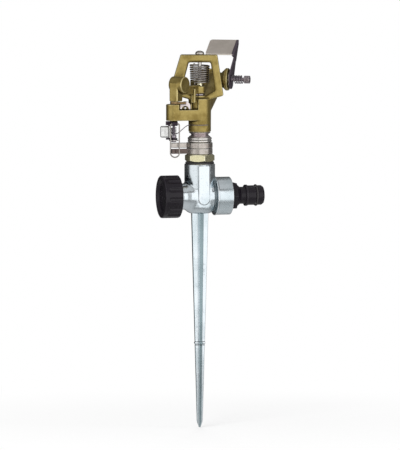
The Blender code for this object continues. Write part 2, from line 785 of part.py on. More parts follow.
def make_connector():
    """Local Z runs out along +X from the riser axis, on the pipe's axis."""
    axis = new_empty("connector_axis", location=(0, 0, PIPE_HEIGHT))
    axis.rotation_euler = (0, math.pi / 2, 0)
    face = COLLAR_START + COLLAR_LENGTH
    gasket_low = face + FIT
    hex_low = gasket_low + GASKET + FIT
    hex_high = hex_low + CONNECTOR_HEX_LENGTH
    neck_low = hex_high + CONNECTOR_NECK_CHAMFER
    lip_low = neck_low + CONNECTOR_NECK_LENGTH
    lip_high = lip_low + CONNECTOR_LIP_LENGTH
    groove_low = lip_high + CONNECTOR_BODY_LENGTH
    groove_high = groove_low + CONNECTOR_GROOVE_LENGTH
    end = groove_high + CONNECTOR_NOSE_LENGTH
    shank = COLLAR_BORE / 2 - FIT
    body = CONNECTOR_BODY / 2
    connector = turned(
        "hose_connector",
        [
            (0, end),
            (body - CONNECTOR_NOSE_CHAMFER, end),
            (body - CONNECTOR_NOSE_CHAMFER * 0.3, end - CONNECTOR_NOSE_CHAMFER * 0.3),
            (body, end - CONNECTOR_NOSE_CHAMFER),
            (body, groove_high),
            (CONNECTOR_GROOVE / 2, groove_high),
            (CONNECTOR_GROOVE / 2, groove_low),
            (body, groove_low),
            (body, lip_high),
            (CONNECTOR_LIP / 2, lip_high),
            (CONNECTOR_LIP / 2, lip_low),
            (CONNECTOR_NECK / 2, lip_low),
            (CONNECTOR_NECK / 2, neck_low),
            (CONNECTOR_HEX / 2 - FIT, hex_high),
            (shank, hex_high - CONNECTOR_HEX_LENGTH / 2),
            (shank, face - CONNECTOR_SHANK),
            (0, face - CONNECTOR_SHANK),
        ],
        MID_STEPS,
    )
    hex_base = plate("connector_hex", [hexagon(CONNECTOR_HEX, 0)], CONNECTOR_HEX_LENGTH, hex_low)
    bore = rod("connector_bore", CONNECTOR_BORE / 2, face - CONNECTOR_SHANK - LOOSE, end + LOOSE)
    for tool in (hex_base, bore):
        tool.parent = axis
    boolean(connector, "UNION", hex_base)
    boolean(connector, "DIFFERENCE", bore)
    black = (0.028, 0.026, 0.03)
    keep(connector, (black, 0.4, 0.0), axis)
    gasket = turned(
        "connector_gasket",
        [
            (shank + FIT, gasket_low + GASKET),
            (CONNECTOR_HEX / 2, gasket_low + GASKET),
            (GASKET_DIAMETER / 2, gasket_low),
            (shank + FIT, gasket_low),
        ],
        MID_STEPS,
        ring=True,
    )
    keep(gasket, ((0.02, 0.02, 0.02), 0.7, 0.0), axis)
    half = O_RING_WIRE / 2
    centre = (CONNECTOR_GROOVE / 2 + FIT + half, (groove_low + groove_high) / 2)
    o_ring = turned("connector_o_ring", arc(centre, half, 90, -210, 6), MID_STEPS, ring=True)
    keep(o_ring, ((0.02, 0.02, 0.02), 0.6, 0.0), axis)


def make_bearing(head):
    black = ((0.02, 0.02, 0.02), 0.7, 0.0)
    brass = ((0.62, 0.55, 0.30), 0.35, 1.0)
    nylon = ((0.75, 0.74, 0.70), 0.5, 0.0)
    steel = ((0.55, 0.53, 0.52), 0.35, 1.0)
    seal = washer("seal_washer", NUT_SHANK_RADIUS + FIT, SEAL_DIAMETER / 2, SEAL_Z, SEAL, MID_STEPS)
    keep(seal, black)

    nut = turned(
        "bearing_nut",
        [
            (0, NUT_TOP_Z),
            (NUT_NECK_DIAMETER / 2, NUT_TOP_Z),
            (NUT_NECK_DIAMETER / 2, HEX_Z + HEX_HEIGHT / 2),
            (NUT_SHANK_RADIUS, HEX_Z + HEX_HEIGHT / 2),
            (NUT_SHANK_RADIUS, NUT_SHANK_Z),
            (0, NUT_SHANK_Z),
        ],
    )
    hex_part = plate("nut_hex", [hexagon(HEX_FLATS, HEX_AZIMUTH)], HEX_HEIGHT, HEX_Z)
    corner = HEX_FLATS / 2 / math.cos(math.pi / 6)
    flat = HEX_FLATS / 2
    drop = (corner - flat) * 0.6
    dome = turned(
        "nut_chamfer",
        [
            (0, HEX_Z + HEX_HEIGHT + LOOSE),
            (flat - LOOSE, HEX_Z + HEX_HEIGHT + LOOSE * 0.6),
            (corner + LOOSE, HEX_Z + HEX_HEIGHT - drop),
            (corner + LOOSE, HEX_Z + drop),
            (flat - LOOSE, HEX_Z - LOOSE * 0.6),
            (0, HEX_Z - LOOSE),
        ],
    )
    boolean(hex_part, "INTERSECT", dome)
    nut_bore = rod("nut_bore", BEARING_BORE_RADIUS, NUT_SHANK_Z - LOOSE, NUT_TOP_Z + LOOSE)
    boolean(nut, "UNION", hex_part)
    boolean(nut, "DIFFERENCE", nut_bore)
    keep(nut, brass)

    upper_thrust = NUT_SHANK_Z - FIT - THRUST_WASHER
    rubber = upper_thrust - FIT - RUBBER_WASHER
    lower_thrust = rubber - FIT - THRUST_WASHER
    flange_top = lower_thrust - FIT
    rim = INNER_WASHER_DIAMETER / 2
    for name, low, thickness, look in (
        ("thrust_washer_upper", upper_thrust, THRUST_WASHER, nylon),
        ("rubber_washer", rubber, RUBBER_WASHER, black),
        ("thrust_washer_lower", lower_thrust, THRUST_WASHER, nylon),
    ):
        keep(washer(name, BEARING_BORE_RADIUS, rim, low, thickness), look, head)
    sleeve = turned(
        "bearing_sleeve",
        [
            (SLEEVE_BORE / 2, SLEEVE_TOP_Z),
            (SLEEVE_DIAMETER / 2, SLEEVE_TOP_Z),
            (SLEEVE_DIAMETER / 2, flange_top),
            (SLEEVE_FLANGE_DIAMETER / 2, flange_top),
            (SLEEVE_FLANGE_DIAMETER / 2, flange_top - SLEEVE_FLANGE),
            (SLEEVE_BORE / 2, flange_top - SLEEVE_FLANGE),
        ],
        SMALL_STEPS,
        ring=True,
    )
    keep(sleeve, brass, head)

    edge = NECK_WASHER / 4
    rim = NECK_WASHER_DIAMETER / 2
    low_ring = washer(
        "neck_washer", BEARING_BORE_RADIUS, rim, NECK_WASHER_Z, NECK_WASHER, MID_STEPS, edge
    )
    keep(low_ring, brass, head)
    high_ring = washer(
        "cover_washer", BEARING_BORE_RADIUS, rim, COVER_WASHER_Z, COVER_WASHER, MID_STEPS, edge
    )
    keep(high_ring, brass, head)
    mouth = NECK_COVER_DIAMETER / 2
    waist = NECK_COVER_WAIST / 2
    outside = [
        (waist + (mouth - waist) * math.sin(angle) ** 2, NECK_COVER_Z + NECK_COVER_HEIGHT * share)
        for share, angle in ((1 - k / 6, math.pi * (0.5 - k / 6)) for k in range(7))
    ]
    cover = turned(
        "neck_cover",
        [
            (NECK_COVER_BORE / 2, NECK_COVER_Z + NECK_COVER_HEIGHT),
            *outside,
            (NECK_COVER_BORE / 2, NECK_COVER_Z),
        ],
        MID_STEPS,
        ring=True,
    )
    keep(cover, steel, head)
    middle = (BEARING_BORE_RADIUS + NECK_COVER_BORE / 2) / 2
    half = NECK_SPRING_WIRE / 2
    low = NECK_COVER_Z + NECK_SPRING_WIRE + half
    high = NECK_COVER_Z + NECK_COVER_HEIGHT - NECK_SPRING_WIRE - half
    points = coil(NECK_SPRING_CURLS, middle, middle, low, high)
    foot = (*points[0][:2], NECK_COVER_Z)
    top = (*points[-1][:2], NECK_COVER_Z + NECK_COVER_HEIGHT)
    path = [foot, *points, top]
    report_gap("neck_spring", points, NECK_SPRING_WIRE, math.pi * middle)
    keep(wire("neck_spring", path, NECK_SPRING_WIRE), steel, head)


def make_collar(name, low, azimuth):
    inner = NUT_NECK_DIAMETER / 2 + FIT
    outer = COLLAR_RING_DIAMETER / 2
    ring = washer(name, inner, outer, low, COLLAR_RING_HEIGHT, BIG_STEPS, FIT)
    half = TAB_WIDTH / 2
    start = (inner + outer) / 2
    tab_outline = rounded([(start, -half), (TAB_REACH, -half), (TAB_REACH, half), (start, half)], half / 3)
    slot_start = outer + TAB_END
    slot_end = TAB_REACH - TAB_END
    slot = TAB_SLOT / 2
    slot_outline = [(slot_start, -slot), (slot_end, -slot), (slot_end, slot), (slot_start, slot)]
    tab = plate(name + "_tab", [tab_outline, slot_outline], COLLAR_RING_HEIGHT - 2 * FIT, low + FIT)
    put(tab, rotation=(0, 0, azimuth))
    boolean(ring, "UNION", tab)
    keep(ring, ((0.35, 0.33, 0.36), 0.35, 1.0))


def bridge_outlines():
    """The frame round the arm, as (x, height) in the plane of the head frame, and its window."""
    hip = BRIDGE_TOP_Z - BRIDGE_HIP_DROP
    heel = BLOCK_TOP_Z + PIN_SEAT_HEIGHT
    outer = [
        (-BRIDGE_FOOT_HALF / 2, BARREL_Z),
        (BRIDGE_FOOT_HALF / 2, BARREL_Z),
        (BRIDGE_FOOT_HALF, PIN_SEAT_Z - BRIDGE_FOOT_BELOW_SEAT),
        (BRIDGE_HEEL_HALF, heel),
        (BRIDGE_TOP_HALF - BRIDGE_ROUND, BRIDGE_TOP_Z),
        (-BRIDGE_TOP_HALF, BRIDGE_TOP_Z),
        (-BRIDGE_HIP_HALF, hip),
        (-BRIDGE_HEEL_HALF, heel),
        (-BRIDGE_FOOT_HALF, PIN_SEAT_Z - BRIDGE_FOOT_BELOW_SEAT),
    ]
    seat = PIN_BOSS_DIAMETER / 2
    inner = [
        (-seat, PIN_SEAT_Z),
        (seat, PIN_SEAT_Z),
        (WINDOW_HEEL_HALF, heel + WINDOW_HEEL_RISE),
        (WINDOW_TOP_HALF, WINDOW_TOP_Z),
        (-WINDOW_TOP_HALF, WINDOW_TOP_Z),
        (-WINDOW_HIP_HALF, hip),
        (-WINDOW_HEEL_HALF, heel + WINDOW_HEEL_RISE),
    ]
    return rounded(outer, BRIDGE_ROUND, 3), rounded(inner, BRIDGE_ROUND, 3)


def make_head_body(head, flow):
    skirt = SKIRT_DIAMETER / 2
    body = turned(
        "head_body",
        [
            (0, PIN_SEAT_Z - COLUMN_BELOW_SEAT),
            (skirt - SKIRT_ROUND, PIN_SEAT_Z - COLUMN_BELOW_SEAT),
            (skirt, PIN_SEAT_Z - COLUMN_BELOW_SEAT - SKIRT_ROUND),
            (skirt, SKIRT_Z + SKIRT_ROUND),
            (skirt - SKIRT_ROUND, SKIRT_Z),
            (0, SKIRT_Z),
        ],
        MID_STEPS,
    )

    reach = math.hypot(TRIP_X, TRIP_Y)
    bracket_turn = math.degrees(math.atan2(TRIP_Y, TRIP_X))
    tangent = math.degrees(math.acos((skirt - BRACKET_HALF) / reach))
    bracket_outline = arc((reach, 0), BRACKET_HALF, -tangent, tangent, 11)
    bracket_outline += arc((0, 0), skirt - FIT, tangent, 360 - tangent, 13)
    bracket = plate("bracket", [bracket_outline], BLOCK_HEIGHT, BLOCK_Z)
    put(bracket, rotation=(0, 0, math.radians(bracket_turn)), parent=head)

    root = BARREL_ROOT_DIAMETER / 2
    tip = BARREL_END_DIAMETER / 2
    lip = tip + BARREL_LIP_STEP
    barrel = turned(
        "barrel",
        [
            (0, BARREL_LENGTH),
            (lip - BARREL_LIP_STEP / 2, BARREL_LENGTH),
            (lip, BARREL_LENGTH - BARREL_LIP_STEP),
            (lip, BARREL_LENGTH - BARREL_LIP),
            (tip, BARREL_LENGTH - BARREL_LIP - BARREL_LIP_STEP),
            (root, 0),
            (0, 0),
        ],
        MID_STEPS,
    )
    aim = (0, math.pi / 2 - BARREL_ELEVATION, 0)
    put(barrel, (0, 0, BARREL_Z), aim, flow)

    boss = turned(
        "screw_boss",
        [
            (0, SCREW_BOSS_REACH),
            (FLAP_LUG_DIAMETER / 2 - LOOSE, SCREW_BOSS_REACH),
            (FLAP_LUG_DIAMETER / 2, SCREW_BOSS_REACH - LOOSE),
            (FLAP_LUG_DIAMETER / 2, SCREW_BOSS_REACH - FLAP_LUG),
            (SCREW_BOSS_DIAMETER / 2, SCREW_BOSS_REACH - FLAP_LUG),
            (SCREW_BOSS_DIAMETER / 2, SCREW_BOSS_START),
            (0, SCREW_BOSS_START),
        ],
        MID_STEPS,
    )
    sideways = (math.pi / 2, 0, 0)
    put(boss, (SCREW_REACH, 0, SCREW_Z), sideways, flow)

    outer, inner = bridge_outlines()
    bridge = plate("bridge", [outer, inner], BRIDGE_DEPTH, -BRIDGE_DEPTH / 2)
    put(bridge, rotation=(math.pi / 2, 0, 0), parent=head)
    seat = rod("pin_seat", PIN_BOSS_DIAMETER / 2, BARREL_Z, PIN_SEAT_Z, SMALL_STEPS)
    seat.parent = head

    thread = rod("sleeve_thread", BEARING_BORE_RADIUS, SKIRT_Z - LOOSE, SLEEVE_TOP_Z + FIT)
    riser = rod("body_bore", BODY_BORE / 2, SLEEVE_TOP_Z, BARREL_Z + FIT)
    shank = NOZZLE_SHANK / 2 + FIT
    socket = BARREL_LENGTH - NOZZLE_DEPTH - FIT
    bore = turned(
        "barrel_bore",
        [
            (0, BARREL_LENGTH + LOOSE),
            (shank, BARREL_LENGTH + LOOSE),
            (shank, socket),
            (BARREL_BORE / 2, socket),
            (BARREL_BORE / 2, 0),
            (0, -BARREL_BORE / 4),
        ],
        SMALL_STEPS,
    )
    put(bore, (0, 0, BARREL_Z), aim, flow)
    screw_hole = rod("screw_hole", SCREW_HOLE_RADIUS, 0, SCREW_BOSS_REACH + LOOSE)
    put(screw_hole, (SCREW_REACH, 0, SCREW_Z), sideways, flow)
    pin_low = rod("pin_hole_low", PIN_HOLE_RADIUS, PIN_SEAT_Z - PIN_DEPTH, PIN_SEAT_Z + LOOSE)
    pin_high = rod("pin_hole_high", PIN_HOLE_RADIUS, WINDOW_TOP_Z - LOOSE, BRIDGE_TOP_Z + LOOSE)
    ahead = TRIP_Y - BRACKET_HALF * 2
    pocket_outline = [
        (POCKET_LEFT, ahead),
        (POCKET_RIGHT, ahead),
        (POCKET_RIGHT, POCKET_BACK_RIGHT),
        (POCKET_MIDDLE, POCKET_BACK_MIDDLE),
        (POCKET_MIDDLE, POCKET_BACK_LEFT),
        (POCKET_LEFT, POCKET_BACK_LEFT),
    ]
    pocket = plate("dog_pocket", [pocket_outline], POCKET_DEPTH, POCKET_Z)
    pocket.parent = head
    stop_x = TRIP_X + ARCH_CENTRE
    stop_z = POCKET_Z + STOP_PIN_RISE
    stop_hole_radius = STOP_PIN_DIAMETER / 2 + FIT
    stop_start = -POCKET_BACK_LEFT - STOP_PIN_LENGTH / 2
    stop_hole = rod("stop_hole", stop_hole_radius, stop_start, BRACKET_HALF * 2)
    put(stop_hole, (stop_x, 0, stop_z), sideways, head)
    trip_hole = rod("trip_hole", TRIP_HOLE_RADIUS, BLOCK_Z - LOOSE, BLOCK_TOP_Z + LOOSE)
    put(trip_hole, (TRIP_X, TRIP_Y, 0), parent=head)
    boolean(body, "UNION", bracket, barrel, boss, bridge, seat)
    holes = (thread, riser, bore, screw_hole, pin_low, pin_high, trip_hole, stop_hole)
    boolean(body, "DIFFERENCE", *holes, pocket)
    brass = ((0.52, 0.43, 0.17), 0.32, 1.0)
    keep(body, brass, head)

    stop_low = stop_start + FIT
    stop_pin = rod("stop_pin", STOP_PIN_DIAMETER / 2, stop_low, stop_low + STOP_PIN_LENGTH, 12)
    put(stop_pin, (stop_x, 0, stop_z), sideways)
    keep(stop_pin, ((0.60, 0.58, 0.55), 0.3, 1.0), head)

    nozzle = turned(
        "nozzle",
        [
            (NOZZLE_OUTLET / 2, BARREL_LENGTH + FIT + NOZZLE_FLANGE),
            (NOZZLE_FLANGE_DIAMETER / 2 - FIT, BARREL_LENGTH + FIT + NOZZLE_FLANGE),
            (NOZZLE_FLANGE_DIAMETER / 2, BARREL_LENGTH + NOZZLE_FLANGE),
            (NOZZLE_FLANGE_DIAMETER / 2, BARREL_LENGTH + FIT),
            (NOZZLE_SHANK / 2, BARREL_LENGTH + FIT),
            (NOZZLE_SHANK / 2, BARREL_LENGTH - NOZZLE_DEPTH),
            (NOZZLE_INLET / 2, BARREL_LENGTH - NOZZLE_DEPTH),
        ],
        SMALL_STEPS,
        ring=True,
    )
    put(nozzle, (0, 0, BARREL_Z), aim)
    keep(nozzle, brass, flow)


def make_fulcrum(head):
    steel = ((0.55, 0.54, 0.52), 0.3, 1.0)
    pin = rod("fulcrum_pin", PIN_DIAMETER / 2, PIN_SEAT_Z - PIN_DEPTH + FIT, BRIDGE_TOP_Z)
    keep(pin, steel, head)
    half = PIN_CAP_DIAMETER / 2
    cap_low = BRIDGE_TOP_Z + FIT
    dome = [
        (half * math.cos(angle), cap_low + PIN_CAP_HEIGHT * (0.25 + 0.75 * math.sin(angle)))
        for angle in np.radians((90, 65, 40, 15, 0))
    ]
    dome[0] = (0, cap_low + PIN_CAP_HEIGHT)
    cap = turned("pin_cap", [*dome, (half, cap_low), (0, cap_low)], SMALL_STEPS)
    keep(cap, steel, head)
    ring = washer("arm_washer", PIN_HOLE_RADIUS, ARM_WASHER_DIAMETER / 2, ARM_WASHER_Z, ARM_WASHER)
    keep(ring, ((0.05, 0.04, 0.04), 0.5, 0.3), head)

    thick = ARM_SPRING_WIRE
    low = ARM_WEB_TOP_Z + FIT + ARM_SPRING_FOOT_RISE
    high = WINDOW_TOP_Z - FIT - thick - thick / 2
    foot_radius = (ARM_SPRING_FOOT_DIAMETER - thick) / 2
    top_radius = (ARM_SPRING_TOP_DIAMETER - thick) / 2
    start = FLOW_TURN + ARM_FRONT
    points = coil(ARM_SPRING_CURLS, foot_radius, top_radius, low, high, start)
    foot = (*points[0][:2], ARM_WEB_TOP_Z + FIT)
    top = (*points[-1][:2], WINDOW_TOP_Z - FIT)
    report_gap("arm_spring", points, thick, math.pi * foot_radius)
    spring = wire("arm_spring", [foot, *points, top], thick)
    keep(spring, steel, head)


def strip_outline(line, width):
    """The outline of a band of even width along a line of (x, y) points."""
    places = [Vector(point) for point in line]
    left = []
    right = []
    for index, place in enumerate(places):
        before = places[max(index - 1, 0)]
        after = places[min(index + 1, len(places) - 1)]
        way = (after - before).normalized()
        across = Vector((-way.y, way.x)) * width / 2
        left.append(tuple(place + across))
        right.append(tuple(place - across))
    return right + left[::-1]


def make_arm(flow):
    brass = ((0.50, 0.41, 0.16), 0.34, 1.0)
    hub = rod("arm", HUB_DIAMETER / 2, ARM_Z, ARM_Z + HUB_HEIGHT, MID_STEPS)
    nozzle_end = (BARREL_LENGTH + FIT + NOZZLE_FLANGE) * math.cos(BARREL_ELEVATION)
    spoon_start = nozzle_end - SPOON_GAP
    line = [(0, 0), (BEAM_BEND_NEAR, BEAM_OFFSET / 7)]
    line += [((BEAM_BEND_NEAR + BEAM_BEND_FAR) / 2, BEAM_OFFSET * 0.56)]
    line += [(BEAM_BEND_FAR, BEAM_OFFSET), (spoon_start, BEAM_OFFSET)]
    beam_z = ARM_Z + ARM_BEAM_RISE
    beam = plate("arm_beam", [strip_outline(line, ARM_BEAM)], ARM_BEAM_HEIGHT, beam_z)
    reach = spoon_start + SPOON_REACH
    centre = (spoon_start, BEAM_OFFSET - SPOON_REACH)
    curve = arc(centre, SPOON_REACH, 90, 0, 6)
    vane = [(spoon_start - ARM_BEAM, BEAM_OFFSET), *curve, (reach, -SPOON_PAST_CENTRE)]
    spoon = plate("spoon", [strip_outline(vane, SPOON_WALL)], SPOON_HEIGHT, beam_z - SPOON_DROP)

    half = ARM_WEB / 2
    web = box("arm_web", (0, -half, ARM_Z), (WEIGHT_START + WEIGHT_BEVEL, half, ARM_WEB_TOP_Z))
    side = WEIGHT_WIDTH / 2
    foot = ARM_Z - WEIGHT_DROP
    block = box(
        "counterweight",
        (WEIGHT_START, -side, foot),
        (WEIGHT_END, side, foot + WEIGHT_HEIGHT),
        WEIGHT_BEVEL,
    )
    drum_radius = WEIGHT_DRUM_DIAMETER / 2
    edge = WEIGHT_BEVEL / 2
    drum = turned(
        "weight_drum",
        [
            (0, WEIGHT_DRUM_FRONT),
            (drum_radius - edge, WEIGHT_DRUM_FRONT),
            (drum_radius, WEIGHT_DRUM_FRONT - edge),
            (drum_radius, edge - WEIGHT_DRUM_BACK),
            (drum_radius - edge, -WEIGHT_DRUM_BACK),
            (0, -WEIGHT_DRUM_BACK),
        ],
    )
    front = new_empty("arm_front", flow, turn=ARM_FRONT)
    put(drum, (WEIGHT_DRUM_REACH, 0, foot + WEIGHT_DRUM_RISE), (-math.pi / 2, 0, 0), front)
    dog = box(
        "trip_dog",
        (DOG_NEAR, -DOG_WIDTH / 2, ARM_Z - DOG_DROP),
        (DOG_FAR, DOG_WIDTH / 2, ARM_Z + ARM_BEAM_HEIGHT),
    )
    put(dog, rotation=(0, 0, DOG_TURN), parent=front)
    web.parent = front
    block.parent = front
    for tool in (beam, spoon):
        tool.parent = flow
    bore = rod("arm_bore", BUSH_DIAMETER / 2 + FIT, ARM_Z - LOOSE, ARM_Z + ARM_WEB_HEIGHT + LOOSE * 2)
    bore.parent = flow
    boolean(hub, "UNION", beam, spoon, web, block, drum, dog)
    boolean(hub, "DIFFERENCE", bore)
    keep(hub, brass, flow)
    bush = washer("arm_bush", PIN_HOLE_RADIUS, BUSH_DIAMETER / 2, ARM_Z, BUSH_LENGTH)
    keep(bush, ((0.7, 0.66, 0.55), 0.4, 0.6), flow)


def make_flap(flow):
    axis = new_empty("flap_axis", flow, (SCREW_REACH, 0, SCREW_Z))
    steel = ((0.42, 0.41, 0.40), 0.35, 1.0)
    half = FLAP_WAIST / 2
    slope = FLAP_FOLD_SLOPE
    fold_start = Vector((FLAP_FOLD_AHEAD, FLAP_FOLD_ABOVE))
    fold_way = Vector((math.cos(slope), math.sin(slope)))
    fold_up = Vector((-math.sin(slope), math.cos(slope)))
    fold_end = fold_start + fold_way * FLAP_FOLD_LENGTH
    waist = Vector((FLAP_WAIST_AHEAD, FLAP_WAIST_ABOVE))
    lean = waist.normalized()
    across = Vector((lean.y, -lean.x))
    end = FLAP_END_DIAMETER / 2
    tilt = math.degrees(math.atan2(across.y, across.x))
    sink = fold_up * FLAP_SHEET / 2
    outline = [tuple(waist + across * half)]
    outline += [tuple(fold_end - fold_up * FLAP_CORNER), tuple(fold_end + sink)]
    outline += [tuple(fold_start + sink), tuple(fold_start - fold_up * half / 2)]
    outline += [tuple(waist - across * half)]
    outline += arc((0, 0), end, tilt + 180, tilt + 360, 11)
    strip = plate("deflector_flap", [outline], FLAP_SHEET, FLAP_OUT)
    put(strip, rotation=(math.pi / 2, 0, 0))

    corner = FLAP_CORNER
    top_outline = [
        (0, 0),
        (FLAP_FOLD_LENGTH, 0),
        *arc((FLAP_FOLD_LENGTH - corner, FLAP_TOP_WIDTH - corner), corner, 0, 90, 4),
        *arc((corner, FLAP_TOP_WIDTH - corner), corner, 90, 180, 4),
    ]
    top = plate("flap_top", [top_outline], FLAP_SHEET)
    put(top, (fold_start.x, -FLAP_OUT - FLAP_SHEET, fold_start.y), (0, -slope, 0), axis)
    boolean(strip, "UNION", top)
    keep(strip, steel, axis)

    ring = washer(
        "flap_washer", SCREW_HOLE_RADIUS, FLAP_WASHER_DIAMETER / 2, FLAP_WASHER_OUT, FLAP_WASHER
    )
    put(ring, rotation=(math.pi / 2, 0, 0))
    keep(ring, steel, axis)
    hole = rod("flap_hole", SCREW_HOLE_RADIUS, FLAP_OUT - LOOSE, FLAP_OUT + FLAP_SHEET + LOOSE)
    put(hole, rotation=(math.pi / 2, 0, 0), parent=axis)
    boolean(strip, "DIFFERENCE", hole)

    ring = washer(
        "diffuser_washer",
        SCREW_HOLE_RADIUS,
        DIFFUSER_WASHER_DIAMETER / 2,
        DIFFUSER_WASHER_OUT,
        DIFFUSER_WASHER,
    )
    put(ring, rotation=(math.pi / 2, 0, 0))
    keep(ring, steel, axis)
    thick = DIFFUSER_SPRING_WIRE
    radius = (DIFFUSER_SPRING_DIAMETER - thick) / 2
    spring_end = DIFFUSER_SPRING_OUT + DIFFUSER_SPRING_LENGTH
    low = DIFFUSER_SPRING_OUT + thick * 1.5
    high = spring_end - thick * 1.5
    points = coil(DIFFUSER_SPRING_CURLS, radius, radius, low, high)
    report_gap("diffuser_spring", points, thick, math.pi * radius)
    foot = (*points[0][:2], DIFFUSER_SPRING_OUT)
    top = (*points[-1][:2], spring_end)
    spring = wire("diffuser_spring", [foot, *points, top], thick)
    put(spring, rotation=(math.pi / 2, 0, 0))
    keep(spring, steel, axis)
    head_end = DIFFUSER_HEAD_OUT + DIFFUSER_HEAD
    radius = DIFFUSER_HEAD_DIAMETER / 2
    edge = LOOSE
    screw = turned(
        "diffuser_screw",
        [
            (0, head_end),
            (radius - edge, head_end),
            (radius, head_end - edge),
            (radius, DIFFUSER_HEAD_OUT + edge),
            (radius - edge, DIFFUSER_HEAD_OUT),
            (DIFFUSER_SHAFT / 2, DIFFUSER_HEAD_OUT),
            (DIFFUSER_SHAFT / 2, DIFFUSER_TIP + DIFFUSER_SHAFT / 4),
            (DIFFUSER_SHAFT / 4, DIFFUSER_TIP),
            (0, DIFFUSER_TIP),
        ],
        SMALL_STEPS,
    )
    put(screw, rotation=(math.pi / 2, 0, 0))
    keep(screw, ((0.30, 0.28, 0.30), 0.35, 1.0), axis)


